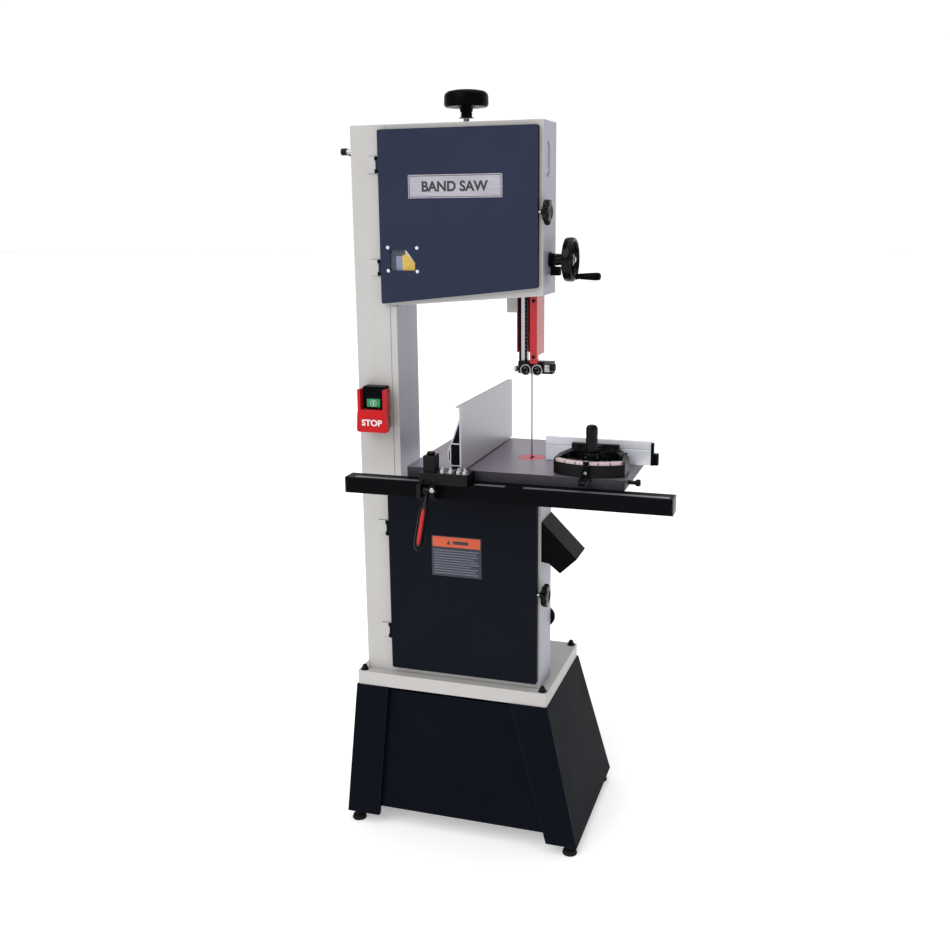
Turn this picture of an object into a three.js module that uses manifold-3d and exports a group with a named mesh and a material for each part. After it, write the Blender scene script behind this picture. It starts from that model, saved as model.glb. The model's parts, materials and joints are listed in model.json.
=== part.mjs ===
// Steel-frame band saw on a flared cabinet stand. Millimetres, +Z up, -Y is the operator's side.
// Pieces are laid out from the blade: X 0 and Y 0 at the cutting run, Z 0 on the floor.
import * as THREE from "three";
import Module from "manifold-3d";
import { mergeVertices } from "three/addons/utils/BufferGeometryUtils.js";

const wasm = await Module();
wasm.setup();

// ---------------------------------------------------------------- driving dimensions
const GAP = 0.3; // clearance kept between pieces that touch
const SHEET = 3; // wall of the welded frame and the stand
const STAND_BOTTOM = 30;
const PLATE_BOTTOM = 397;
const PLATE_TOP = 435;
const TABLE_TOP = 1040;
const TABLE_THICK = 26;
const LOWER_TOP = 950; // top of the lower wheel casing
const FRAME_TOP = 1862;

const FRONT = -70; // front plane of the casings and the column
const UPPER_BACK = 52;
const LOWER_BACK = 36;
const COLUMN_BACK = 72;
const COLUMN_LEFT = -445;
const SEAM = -352; // where the column's front sheet ends
const COLUMN_INNER = -334;
const UPPER_RIGHT = 46;
const LOWER_RIGHT = 43;

const WHEEL_X = -178.8;
const UPPER_Z = 1655;
const LOWER_Z = 665;
const WHEEL_R = 171; // cast rim; the tyre is on top of it
const TYRE_R = 177.4;
const BLADE_THICK = 0.6;
const BLADE_WIDTH = 16;
const WHEEL_HALF = 13;

const DOOR_FRONT = -85;
const DOOR_LEFT = -368;
const DOOR_RIGHT = 36;
const DOOR_SHEET = 2.5;
const DOOR_CORNER = 5;
const HINGE_X = -373;
const HINGE_Y = -76;
const KNUCKLE = 20; // length of the door's knuckle, between the two on the column
const UPPER_HINGES = [1768, 1520];
const LOWER_HINGES = [842, 553];

const MITER_X = 182; // centre of the table slot

// ---------------------------------------------------------------- solids
function solid(geometry) {
  const plain = geometry.index ? geometry.toNonIndexed() : geometry.clone();
  const bare = new THREE.BufferGeometry();
  bare.setAttribute("position", plain.getAttribute("position"));
  const merged = mergeVertices(bare, 1e-4);
  return new wasm.Manifold(
    new wasm.Mesh({
      numProp: 3,
      vertProperties: merged.attributes.position.array,
      triVerts: new Uint32Array(merged.index.array),
    }),
  );
}

function geometryOf(body) {
  const mesh = body.getMesh();
  const stride = mesh.numProp;
  const points = new Float32Array(mesh.numVert * 3);
  for (let i = 0; i < mesh.numVert; i++) {
    points.set(mesh.vertProperties.subarray(i * stride, i * stride + 3), i * 3);
  }
  const geometry = new THREE.BufferGeometry();
  geometry.setAttribute("position", new THREE.BufferAttribute(points, 3));
  geometry.setIndex(new THREE.BufferAttribute(mesh.triVerts, 1));
  geometry.computeVertexNormals();
  return geometry;
}

const join = (first, ...rest) => rest.reduce((sum, next) => sum.add(next), first);
const cut = (first, ...rest) => rest.reduce((left, next) => left.subtract(next), first);

// A block from its lowest to its highest corner.
function block([x0, y0, z0], [x1, y1, z1]) {
  const box = new THREE.BoxGeometry(x1 - x0, y1 - y0, z1 - z0);
  box.translate((x0 + x1) / 2, (y0 + y1) / 2, (z0 + z1) / 2);
  return solid(box);
}

// Turns a solid made along +Z so that it runs along the named axis.
function aim(geometry, axis) {
  if (axis === "x") geometry.rotateY(Math.PI / 2);
  if (axis === "y") geometry.rotateX(-Math.PI / 2);
  return geometry;
}

// A round bar centred on (u, v), the two coordinates across its axis in X, Y, Z order.
function bar(axis, u, v, from, to, radius, sides = 24, endRadius = radius) {
  const geometry = new THREE.CylinderGeometry(endRadius, radius, to - from, sides);
  geometry.rotateX(Math.PI / 2);
  geometry.translate(0, 0, (from + to) / 2);
  aim(geometry, axis);
  if (axis === "x") geometry.translate(0, u, v);
  if (axis === "y") geometry.translate(u, 0, v);
  if (axis === "z") geometry.translate(u, v, 0);
  return solid(geometry);
}

// A flat outline [[x, z], ...] run along Y, or [[x, y], ...] run along Z, or [[y, z], ...] run along X.
function prism(axis, outline, from, to) {
  const shape = new THREE.Shape(outline.map(([a, b]) => new THREE.Vector2(a, b)));
  const geometry = new THREE.ExtrudeGeometry(shape, { depth: to - from, bevelEnabled: false });
  const place = new THREE.Matrix4();
  if (axis === "z") place.makeTranslation(0, 0, from);
  if (axis === "x") place.set(0, 0, 1, from, 1, 0, 0, 0, 0, 1, 0, 0, 0, 0, 0, 1);
  if (axis === "y") place.set(1, 0, 0, 0, 0, 0, -1, to, 0, 1, 0, 0, 0, 0, 0, 1);
  geometry.applyMatrix4(place);
  return solid(geometry);
}

// The outline with each corner rounded to the given radius.
function rounded(outline, radius, steps = 3) {
  const points = [];
  outline.forEach(([x, y], i) => {
    const before = outline[(i + outline.length - 1) % outline.length];
    const after = outline[(i + 1) % outline.length];
    const toward = ([px, py]) => {
      const length = Math.hypot(px - x, py - y);
      return [x + ((px - x) / length) * radius, y + ((py - y) / length) * radius];
    };
    const [a, b] = [toward(before), toward(after)];
    for (let k = 0; k <= steps; k++) {
      const t = k / steps;
      const [u, v, w] = [(1 - t) ** 2, 2 * t * (1 - t), t * t];
      points.push([u * a[0] + v * x + w * b[0], u * a[1] + v * y + w * b[1]]);
    }
  });
  return points;
}

const rectangle = (a0, b0, a1, b1) => [
  [a0, b0],
  [a1, b0],
  [a1, b1],
  [a0, b1],
];

// A turned shape: profile [[radius, height], ...] about an axis through the origin.
function turned(profile, sides = 32) {
  const points = profile.map(([r, h]) => new THREE.Vector2(r, h));
  const geometry = new THREE.LatheGeometry(points, sides);
  geometry.rotateX(Math.PI / 2);
  return solid(geometry);
}

// A block between a rectangle at the bottom and another at the top.
function flare(bottom, z0, top, z1) {
  const corners = [
    ...rectangle(...bottom).map(([x, y]) => [x, y, z0]),
    ...rectangle(...top).map(([x, y]) => [x, y, z1]),
  ];
  const faces = [
    [0, 2, 1],
    [0, 3, 2],
    [4, 5, 6],
    [4, 6, 7],
    ...[0, 1, 2, 3].flatMap((i) => {
      const j = (i + 1) % 4;
      return [
        [i, j, j + 4],
        [i, j + 4, i + 4],
      ];
    }),
  ];
  const geometry = new THREE.BufferGeometry();
  const flat = faces.flat().flatMap((i) => corners[i]);
  geometry.setAttribute("position", new THREE.Float32BufferAttribute(flat, 3));
  return solid(geometry);
}

const inset = ([x0, y0, x1, y1], by) => [x0 + by, y0 + by, x1 - by, y1 - by];

// A lobed hand knob's outline about the origin.
function lobes(radius, depth, count, steps = 6) {
  return Array.from({ length: count * steps }, (_, i) => {
    const angle = (i / (count * steps)) * 2 * Math.PI;
    const r = radius - depth * (0.5 - 0.5 * Math.cos(count * angle)) ** 2;
    return [r * Math.cos(angle), r * Math.sin(angle)];
  });
}

// ---------------------------------------------------------------- finishes
const finish = (color, roughness, metalness) => () =>
  new THREE.MeshStandardMaterial({ color, roughness, metalness });
const framePaint = finish(0xcfcfcb, 0.5, 0.1);
const doorPaint = finish(0x30364a, 0.5, 0.1);
const standPaint = finish(0x1b2030, 0.55, 0.1);
const guardPaint = finish(0xc01f2c, 0.45, 0.1);
const blackPlastic = finish(0x16171a, 0.45, 0);
const castIron = finish(0x8b8d90, 0.4, 0.8);
const steel = finish(0xb4b6b8, 0.35, 0.9);
const aluminium = finish(0xc9ccd0, 0.4, 0.8);
const rubber = finish(0x1c1c1c, 0.8, 0);
const redPlastic = finish(0xd02028, 0.4, 0);
const greenPlastic = finish(0x18a050, 0.4, 0);
const clearPlastic = finish(0xc8d4dc, 0.1, 0);

function piece(name, body, paint, at = [0, 0, 0]) {
  const mesh = new THREE.Mesh(geometryOf(body), paint());
  mesh.name = name;
  mesh.position.set(...at);
  return mesh;
}

function assembly(...pieces) {
  const group = new THREE.Group();
  group.add(...pieces.flat());
  return group;
}

// ---------------------------------------------------------------- stand and base plate
const STAND_LOW = [-490, -146, 163, 304];
const STAND_HIGH = [-468, -103, 71, 261];
const LEG_LIP = 14;
const LEG_LEFT = { low: -396, high: -375 }; // the left legs' inner edge
const LEG_RIGHT = { low: 79, high: -32 }; // the right legs' inner edge
const STAND_TOP = PLATE_BOTTOM - GAP;

function standShell(by, thick, z0 = STAND_BOTTOM, z1 = STAND_TOP) {
  const outer = flare(inset(STAND_LOW, by), STAND_BOTTOM, inset(STAND_HIGH, by), STAND_TOP);
  // the inner wall runs a little past both ends, along the same slopes
  const share = 20 / (STAND_TOP - STAND_BOTTOM);
  const past = (a, b) => a.map((v, i) => v + (v - b[i]) * share);
  const low = inset(STAND_LOW, by + thick);
  const high = inset(STAND_HIGH, by + thick);
  const inner = flare(past(low, high), STAND_BOTTOM - 20, past(high, low), STAND_TOP + 20);
  return cut(outer, inner).intersect(block([-700, -400, z0], [400, 500, z1]));
}

// Everything to one side of a leg's inner edge, moved outwards by an amount.
function besideLeg(edge, side, by) {
  const slope = (edge.high - edge.low) / (STAND_TOP - STAND_BOTTOM);
  const at = (z) => edge.low + slope * (z - STAND_BOTTOM) + side * by;
  const far = side * 900;
  const outline = [
    [at(-50), -50],
    [far, -50],
    [far, 600],
    [at(600), 600],
  ];
  return prism("y", side < 0 ? outline.reverse() : outline, -500, 600);
}

function standSide(name, edge, side) {
  const wall = standShell(0, SHEET).intersect(besideLeg(edge, side, 0));
  const lip = standShell(0, LEG_LIP)
    .intersect(besideLeg(edge, side, 0))
    .subtract(besideLeg(edge, side, SHEET));
  const tabs = [-1, 1].map((end) => {
    const x = side < 0 ? [-489, -440] : [110, 162];
    const y = end < 0 ? [-145, -95] : [250, 303];
    const tab = block([x[0], y[0], STAND_BOTTOM + 4], [x[1], y[1], STAND_BOTTOM + 8]);
    return tab.intersect(flare(inset(STAND_LOW, 1), STAND_BOTTOM, inset(STAND_HIGH, 1), STAND_TOP));
  });
  // flange under the base plate
  const flange = standShell(0, 24, STAND_TOP - SHEET, STAND_TOP).intersect(besideLeg(edge, side, 0));
  return piece(name, join(wall, lip, flange, ...tabs), standPaint);
}

function standPanel(name, front) {
  const depth = front ? [-400, 60] : [100, 500];
  const region = block([-700, depth[0], 0], [400, depth[1], 600]);
  const body = standShell(LEG_LIP + 1, 2, 50, 385)
    .intersect(region)
    .subtract(besideLeg(LEG_LEFT, -1, 45))
    .subtract(besideLeg(LEG_RIGHT, 1, 45));
  return piece(name, body, standPaint);
}

function footPiece(name, x, y) {
  const body = turned(
    [
      [0, 0],
      [19, 0],
      [20, 3],
      [17, 11],
      [6, 13],
      [6, STAND_BOTTOM + 3.6],
      [0, STAND_BOTTOM + 3.6],
    ],
    20,
  );
  return piece(name, body, rubber, [x, y, 0]);
}

const PLATE = [-465, -100, 68, 258];

function basePlate() {
  const outer = prism("z", rounded(rectangle(...PLATE), 6), PLATE_BOTTOM, PLATE_TOP);
  const inner = prism("z", rectangle(...inset(PLATE, SHEET)), PLATE_BOTTOM - 5, PLATE_TOP - 4);
  return piece("base_plate", cut(outer, inner), framePaint);
}

// ---------------------------------------------------------------- column and casings
const FOOT_Z = PLATE_TOP + GAP;

function columnFront() {
  const left = block([COLUMN_LEFT, FRONT, FOOT_Z], [COLUMN_LEFT + SHEET, 0, FRAME_TOP]);
  const front = block([COLUMN_LEFT, FRONT, FOOT_Z], [SEAM, FRONT + SHEET, FRAME_TOP]);
  const cap = block([COLUMN_LEFT, FRONT, FRAME_TOP - SHEET], [SEAM, 0, FRAME_TOP]);
  const leaves = [...UPPER_HINGES, ...LOWER_HINGES].flatMap((z) => [
    block([HINGE_X - 27, FRONT - 3, z - 20], [HINGE_X - 5, FRONT + 1, z + 20]),
    ...[-1, 1].flatMap((end) => {
      const [z0, z1] = end < 0 ? [z - 20, z - KNUCKLE / 2 - 0.4] : [z + KNUCKLE / 2 + 0.4, z + 20];
      return [
        bar("z", HINGE_X, HINGE_Y, z0, z1, 4, 12),
        block([HINGE_X - 7, HINGE_Y - 1, z0], [HINGE_X, FRONT - 2, z1]),
      ];
    }),
  ]);
  return piece("column_front_channel", join(left, front, cap, ...leaves), framePaint);
}

// The inner channel closes the column between the two casings.
function columnInner() {
  const [x0, x1] = [SEAM + GAP, COLUMN_INNER];
  const [z0, z1] = [LOWER_TOP + GAP, upperBottom(SEAM) - GAP];
  const front = block([x0, FRONT + 1, z0], [x1, FRONT + 1 + SHEET, z1]);
  const side = block([x1 - SHEET, FRONT + 1, z0], [x1, 3, z1]);
  return piece("column_inner_channel", join(front, side), framePaint);
}

function columnRear() {
  const left = block([COLUMN_LEFT, GAP, FOOT_Z], [COLUMN_LEFT + SHEET, COLUMN_BACK, FRAME_TOP]);
  const back = block(
    [COLUMN_LEFT, COLUMN_BACK - SHEET, FOOT_Z],
    [COLUMN_INNER, COLUMN_BACK, FRAME_TOP],
  );
  const cap = block([COLUMN_LEFT, GAP, FRAME_TOP - SHEET], [SEAM - GAP, COLUMN_BACK, FRAME_TOP]);
  const side = join(
    block([COLUMN_INNER - SHEET, 3 + GAP, 955], [COLUMN_INNER, COLUMN_BACK, 1424]),
    block([COLUMN_INNER - SHEET, UPPER_BACK + GAP, 1424], [COLUMN_INNER, COLUMN_BACK, FRAME_TOP]),
    block([COLUMN_INNER - SHEET, UPPER_BACK + GAP, FOOT_Z], [COLUMN_INNER, COLUMN_BACK, 955]),
  );
  const holes = join(
    bar("x", 30, RELEASE_Z, COLUMN_LEFT - 5, COLUMN_LEFT + 8, 6.6, 16),
    bar("y", MOTOR_X, MOTOR_Z, COLUMN_BACK - 8, COLUMN_BACK + 5, 12, 20),
  );
  return piece("column_rear_channel", cut(join(left, back, cap, side), holes), framePaint);
}

// The upper casing's underside rises to the right.
const upperBottom = (x) => 1452 + 0.0754 * x;
// The upper door's lower edge rises a little more.
const doorBottom = (x) => 1471 + 0.108 * x;

const SCREW_Y = 38; // tension screw, behind the wheel
const HAND_Y = -9; // guide post handwheel
const HAND_Z = 1539;
const TRACK_Z = 1628;
const RELEASE_Z = 1806;
const MOTOR_X = -372;
const MOTOR_Z = 530;

function upperCasing() {
  const outline = (by) => {
    const left = SEAM + GAP - (by ? 20 : 0);
    const right = UPPER_RIGHT - by;
    return [
      [left, upperBottom(left) + by],
      [right, upperBottom(right) + by],
      [right, FRAME_TOP - by],
      [left, FRAME_TOP - by],
    ];
  };
  const mouth = [
    [SEAM - 20, doorBottom(SEAM) + 10],
    [DOOR_RIGHT - 8, doorBottom(DOOR_RIGHT) + 10],
    [DOOR_RIGHT - 8, 1842],
    [SEAM - 20, 1842],
  ];
  const shell = cut(
    prism("y", outline(0), FRONT, UPPER_BACK),
    prism("y", outline(SHEET), FRONT + SHEET, UPPER_BACK - SHEET),
    prism("y", mouth, FRONT - 5, FRONT + 5),
  );
  const holes = [
    block([-56, -36, 1400], [28, 47, 1480]), // guide post and blade
    bar("z", WHEEL_X, SCREW_Y, FRAME_TOP - 10, FRAME_TOP + 5, 9, 20),
    block([WHEEL_X - 8, UPPER_BACK - 8, TRACK_Z - 20], [WHEEL_X + 8, UPPER_BACK + 5, TRACK_Z + 8]),
    bar("x", HAND_Y, HAND_Z, UPPER_RIGHT - 8, UPPER_RIGHT + 5, 7, 16),
    block([UPPER_RIGHT - 8, -21, 1734], [UPPER_RIGHT + 5, -11, 1812]), // tension scale window
  ];
  // angle bracket for the guide post clamp, left of the guard
  const under = upperBottom(-62);
  const bracket = join(
    block([-72, 22, 1406], [-44, 26, under + 2]),
    block([-72, 22, under - 4], [-56, 40, under + 2]),
  );
  return piece("upper_casing", join(cut(shell, ...holes), bracket), framePaint);
}

function lowerCasing() {
  const [left, right] = [SEAM + GAP, LOWER_RIGHT];
  const shell = cut(
    block([left, FRONT, FOOT_Z], [right, LOWER_BACK, LOWER_TOP]),
    block(
      [left - 20, FRONT + SHEET, FOOT_Z + SHEET],
      [right - SHEET, LOWER_BACK - SHEET, LOWER_TOP - SHEET],
    ),
    block([left - 20, FRONT - 5, 462], [DOOR_RIGHT - 8, FRONT + 5, 924]),
  );
  const bearing = bar("y", WHEEL_X, LOWER_Z, LOWER_BACK - 14, LOWER_BACK + 22, 34, 28, 30);
  const holes = [
    block([-24, -24, LOWER_TOP - 10], [24, 18, LOWER_TOP + 5]), // blade and sawdust
    block([right - 8, -56, 792], [right + 5, 29, 872]), // dust outlet
    bar("y", WHEEL_X, LOWER_Z, LOWER_BACK - 20, LOWER_BACK + 30, AXLE_R + 0.6, 24),
  ];
  return piece("lower_casing", cut(join(shell, bearing), ...holes), framePaint);
}

function dustChute() {
  const start = LOWER_RIGHT + GAP;
  const outline = [
    [start, 889],
    [start, 782],
    [62, 779],
    [92, 755],
    [135, 796],
  ];
  const outer = prism("y", outline, -64, 37);
  // the duct's hollow runs past its open end, along the slope
  const hollow = [
    [start - 5, 890],
    [start - 5, 785],
    [63, 782],
    [93, 757],
    [120, 730],
    [160, 765],
    [133, 794],
  ];
  return piece("dust_chute", cut(outer, prism("y", hollow, -61, 34)), blackPlastic);
}

// ---------------------------------------------------------------- doors
function doorPan(low, high) {
  const pan = (by, y0, y1) =>
    prism(
      "y",
      rounded(
        [
          [DOOR_LEFT + by, low(DOOR_LEFT + by) + by],
          [DOOR_RIGHT - by, low(DOOR_RIGHT - by) + by],
          [DOOR_RIGHT - by, high - by],
          [DOOR_LEFT + by, high - by],
        ],
        DOOR_CORNER - by,
      ),
      y0,
      y1,
    );
  return cut(
    pan(0, DOOR_FRONT, FRONT - GAP),
    pan(DOOR_SHEET, DOOR_FRONT + DOOR_SHEET, FRONT + 5),
    bar("x", LATCH_Y, latchHeight(high), DOOR_RIGHT - 8, DOOR_RIGHT + 5, 4.4, 12),
  );
}

const LATCH_Y = -77.5;
const latchHeight = (high) => (high > 1000 ? 1652 : 697);

// Two knuckles joined to the door's left edge, on the hinge line.
function knuckles(heights) {
  return heights.flatMap((z) => [
    bar("z", HINGE_X, HINGE_Y, z - KNUCKLE / 2, z + KNUCKLE / 2, 4, 12),
    block(
      [HINGE_X, HINGE_Y - 1.5, z - KNUCKLE / 2],
      [DOOR_LEFT + 1, HINGE_Y + 1.5, z + KNUCKLE / 2],
    ),
  ]);
}

function latchKnob(name, z) {
  const body = join(
    prism("x", lobes(28, 5, 7), 50, 63),
    bar("x", 0, 0, 63, 66, 13, 20),
    bar("x", 0, 0, 44, 50, 7, 20),
    bar("x", 0, 0, 22, 44, 4, 12),
  );
  return piece(name, body, blackPlastic, [0, LATCH_Y, z]);
}

function upperDoor() {
  const opening = [
    [-342, 1514],
    [-276, 1514],
    [-276, 1533],
    [-299, 1564],
    [-342, 1564],
  ];
  const window = prism("y", opening, DOOR_FRONT - 5, FRONT);
  const shell = cut(doorPan(doorBottom, 1850), window);
  const glass = block([-352, DOOR_FRONT + DOOR_SHEET + GAP, 1505], [-266, DOOR_FRONT + 4.6, 1576]);
  const plate = prism(
    "y",
    rounded(rectangle(-289, 1687, -50, 1742), 3),
    DOOR_FRONT - 1.8,
    DOOR_FRONT - GAP,
  );
  return assembly(
    piece("upper_door", join(shell, ...knuckles(UPPER_HINGES)), doorPaint),
    piece("window_glass", glass, clearPlastic),
    piece("nameplate", plate, aluminium),
    latchKnob("upper_latch_knob", 1652),
  );
}

function lowerDoor() {
  const shell = doorPan(() => 451, 935);
  return assembly(
    piece("lower_door", join(shell, ...knuckles(LOWER_HINGES)), doorPaint),
    latchKnob("lower_latch_knob", 697),
  );
}

// ---------------------------------------------------------------- wheels, blade and drive
const AXLE_R = 12;
const RIM_SIDES = 48; // the blade's arcs use the same facets

// A cast wheel with five round windows in its web, on an axis along Y through the origin.
function wheelBody(hubFront, hubBack, bore) {
  const rim = WHEEL_R - 14;
  const profile = [
    [bore, hubFront],
    [32, hubFront],
    [32, -4],
    [rim, -4],
    [rim, -WHEEL_HALF],
    [WHEEL_R, -WHEEL_HALF],
    [WHEEL_R, WHEEL_HALF],
    [rim, WHEEL_HALF],
    [rim, 4],
    [32, 4],
    [32, hubBack],
    [bore, hubBack],
  ];
  const closed = bore > 0 ? [...profile, profile[0]] : profile;
  const points = closed.map(([r, h]) => new THREE.Vector2(r, h));
  const geometry = new THREE.LatheGeometry(points, RIM_SIDES);
  const windows = Array.from({ length: 5 }, (_, i) => {
    const angle = (i / 5) * 2 * Math.PI + Math.PI / 2;
    return bar("y", 96 * Math.cos(angle), 96 * Math.sin(angle), -20, 20, 38, 20);
  });
  return cut(solid(geometry), ...windows);
}

function tyre(name, z) {
  const r0 = WHEEL_R + GAP;
  const r1 = TYRE_R;
  const geometry = new THREE.LatheGeometry(
    [
      [r0, -WHEEL_HALF],
      [r1 - 1, -WHEEL_HALF],
      [r1, -4],
      [r1, 4],
      [r1 - 1, WHEEL_HALF],
      [r0, WHEEL_HALF],
      [r0, -WHEEL_HALF],
    ].map(([r, h]) => new THREE.Vector2(r, h)),
    RIM_SIDES,
  );
  return piece(name, solid(geometry), rubber, [WHEEL_X, 0, z]);
}

function upperWheel() {
  return assembly(
    piece("upper_wheel", wheelBody(-18, 15, AXLE_R + GAP), castIron, [WHEEL_X, 0, UPPER_Z]),
    tyre("upper_tyre", UPPER_Z),
  );
}

const PULLEY_R = 62;
const MOTOR_PULLEY_R = 30;
const PULLEY_FRONT = -46;
const PULLEY_BACK = -22;

// A grooved pulley on an axis along Y through the origin.
function pulley(radius, bore) {
  const profile = [
    [bore, PULLEY_FRONT],
    [radius, PULLEY_FRONT],
    [radius, PULLEY_FRONT + 4],
    [radius - 6, PULLEY_FRONT + 7],
    [radius - 6, PULLEY_BACK - 7],
    [radius, PULLEY_BACK - 4],
    [radius, PULLEY_BACK],
    [bore, PULLEY_BACK],
    [bore, PULLEY_FRONT],
  ];
  const points = profile.map(([r, h]) => new THREE.Vector2(r, h));
  return solid(new THREE.LatheGeometry(points, 32));
}

function lowerWheel() {
  const shaft = bar("y", 0, 0, -52, 62, AXLE_R, 24);
  const body = join(wheelBody(-20, 15, AXLE_R - 2), shaft);
  return assembly(
    piece("lower_wheel", body, castIron, [WHEEL_X, 0, LOWER_Z]),
    tyre("lower_tyre", LOWER_Z),
    piece("drive_pulley", pulley(PULLEY_R, AXLE_R + GAP), aluminium, [WHEEL_X, 0, LOWER_Z]),
  );
}

function motorPulley() {
  const shaft = bar("y", 0, 0, -50, 68, 8, 20);
  const body = join(pulley(MOTOR_PULLEY_R, 7), shaft);
  return piece("motor_pulley", body, aluminium, [MOTOR_X, 0, MOTOR_Z]);
}

// The outline of a belt or blade round two circles of one centre line.
function loopOutline(a, b) {
  const [dx, dz] = [b.x - a.x, b.z - a.z];
  const along = Math.atan2(dz, dx);
  const spread = Math.acos((a.r - b.r) / Math.hypot(dx, dz));
  const arc = (c, from, to) =>
    Array.from({ length: RIM_SIDES / 2 + 1 }, (_, i) => {
      const angle = from + ((to - from) * i) / (RIM_SIDES / 2);
      return [c.x + c.r * Math.cos(angle), c.z + c.r * Math.sin(angle)];
    });
  return [
    ...arc(b, along - spread, along + spread),
    ...arc(a, along + spread, along - spread + 2 * Math.PI),
  ];
}

function driveBelt() {
  const ring = (grow, y0, y1) =>
    prism(
      "y",
      loopOutline(
        { x: MOTOR_X, z: MOTOR_Z, r: MOTOR_PULLEY_R - 6 + grow },
        { x: WHEEL_X, z: LOWER_Z, r: PULLEY_R - 6 + grow },
      ),
      y0,
      y1,
    );
  const [y0, y1] = [PULLEY_FRONT + 8, PULLEY_BACK - 8];
  return piece("drive_belt", cut(ring(7, y0, y1), ring(0.5, y0 - 5, y1 + 5)), rubber);
}

const BLADE_R = TYRE_R + 1.1; // leaves room for the upper wheel to tilt

function blade() {
  const ring = (grow, z0, z1) =>
    prism(
      "y",
      loopOutline(
        { x: WHEEL_X, z: z0, r: BLADE_R + grow },
        { x: WHEEL_X, z: z1, r: BLADE_R + grow },
      ),
      -BLADE_WIDTH / 2 - (grow ? 0 : 5),
      BLADE_WIDTH / 2 + (grow ? 0 : 5),
    );
  const loop = cut(ring(BLADE_THICK, LOWER_Z, UPPER_Z), ring(0, LOWER_Z, UPPER_Z));
  const run = block([-6, -20, LOWER_Z + 5], [6, 20, UPPER_Z - 5]);
  const rest = block([-6, -20, LOWER_Z + 4.7], [6, 20, UPPER_Z - 4.7]);
  return assembly(
    piece("blade_cutting_run", loop.intersect(run), steel),
    piece("blade_back_loop", cut(loop, rest), steel),
  );
}

function motor() {
  const back = COLUMN_BACK + GAP;
  const body = join(
    bar("y", 0, 0, back, back + 10, 74, 28),
    bar("y", 0, 0, back + 10, back + 185, 66, 28),
    bar("y", 0, 0, back + 185, back + 205, 68, 28, 60),
    block([-34, back + 40, 55], [34, back + 130, 92]),
  );
  return piece("motor", body, blackPlastic, [MOTOR_X, 0, MOTOR_Z]);
}

// ---------------------------------------------------------------- tension and tracking
function wheelCarrier() {
  const slide = cut(
    block([WHEEL_X - 30, 30, 1600], [WHEEL_X + 30, 46, 1740]),
    bar("z", WHEEL_X, SCREW_Y, 1690, 1750, 8.4, 20),
    bar("y", WHEEL_X, TRACK_Z, 25, 50, 5.4, 16),
  );
  const bracket = join(
    block([WHEEL_X - 22, 17, 1622], [WHEEL_X + 22, 29, 1688]),
    bar("y", WHEEL_X, UPPER_Z, -22, 18, AXLE_R, 24),
    bar("y", WHEEL_X, UPPER_Z, -22, -18 - GAP, 19, 24),
  );
  return assembly(
    piece("wheel_slide_block", slide, castIron),
    piece("wheel_axle_bracket", bracket, castIron),
  );
}

function tensionKnob() {
  const body = turned(
    [
      [0, 1705],
      [8, 1705],
      [8, 1878],
      [14, 1879],
      [16, 1904],
      [30, 1908],
      [52, 1904],
      [55, 1909],
      [53, 1934],
      [44, 1941],
      [20, 1945],
      [0, 1945],
    ],
    32,
  );
  return piece("tension_knob", body, blackPlastic, [WHEEL_X, SCREW_Y, 0]);
}

function trackingKnob() {
  const body = join(
    bar("y", 0, 0, 29.6, 60, 5, 16),
    prism("y", lobes(26, 4, 6), 60, 78),
    bar("y", 0, 0, 78, 82, 12, 20),
  );
  return piece("tracking_knob", body, blackPlastic, [WHEEL_X, 0, TRACK_Z]);
}

// Cam shaft through the column's left wall, with its arm pointing back.
function releaseLever() {
  const shaft = bar("x", 0, 0, -512, -216, 6, 16);
  const hub = bar("x", 0, 0, -514, -500, 9, 20);
  const arm = join(bar("y", -507, 0, 0, 100, 5, 12), bar("y", -507, 0, 95, 128, 7, 16, 9));
  const cam = bar("x", 3, 0, -232, -216, 10, 20);
  const body = join(shaft, hub, arm.rotate([-8, 0, 0]), cam);
  return piece("release_lever", body, blackPlastic, [0, 30, RELEASE_Z]);
}

// ---------------------------------------------------------------- guide post and guides
const POST_BOTTOM = 1285;
const POST_TOP = 1715;
const BEARING_Z = 1266;
const BEARING_R = 14;
const BEARING_X = BEARING_R + BLADE_THICK / 2 + 0.55;

function guidePost() {
  const body = block([-40, 20, POST_BOTTOM], [-18, 42, POST_TOP]);
  const pitch = 10;
  const count = Math.floor((POST_TOP - POST_BOTTOM) / pitch) - 1;
  const grooves = Array.from({ length: count }, (_, i) => {
    const z = POST_BOTTOM + pitch * (i + 1);
    return block([-41, 18, z - 2.5], [-31, 23, z + 2.5]);
  });
  return piece("guide_post", cut(body, ...grooves), steel);
}

function bladeGuard() {
  const [z0, z1] = [POST_BOTTOM, POST_TOP];
  const body = join(
    block([2, -28, z0], [20, -26, z1]),
    block([18, -28, z0], [20, 46, z1]),
    block([-48, 44, z0], [20, 46, z1]),
    block([-48, 30, z0], [-46, 46, z1]),
  );
  const stepCut = block([-60, -10, z0 - 5], [30, 60, z0 + 19]);
  return piece("blade_guard", cut(body, stepCut), guardPaint);
}

function upperGuides() {
  const pins = [-1, 1].map((side) =>
    bar("y", side * BEARING_X, BEARING_Z, -10, 14, 4, 12),
  );
  const body = join(
    block([-40, 13, 1254], [50, 40, POST_BOTTOM - GAP]),
    block([30.5, -8, 1262], [50, 14, 1284]), // arm round the right-hand bearing
    bar("x", 2, 1273, 50, 56, 9, 16),
    bar("x", 2, 1267, -40, -30, 5, 12),
    block([-36, 2, 1262], [-30, 14, 1272]),
    ...pins,
  );
  const thrust = join(
    bar("x", 19.5, 1270, -3.5, 3.5, 10, 16),
    bar("x", 19.5, 1270, -6, 6, 3, 10),
  );
  return piece("upper_guide_block", join(body, thrust), steel);
}

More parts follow.
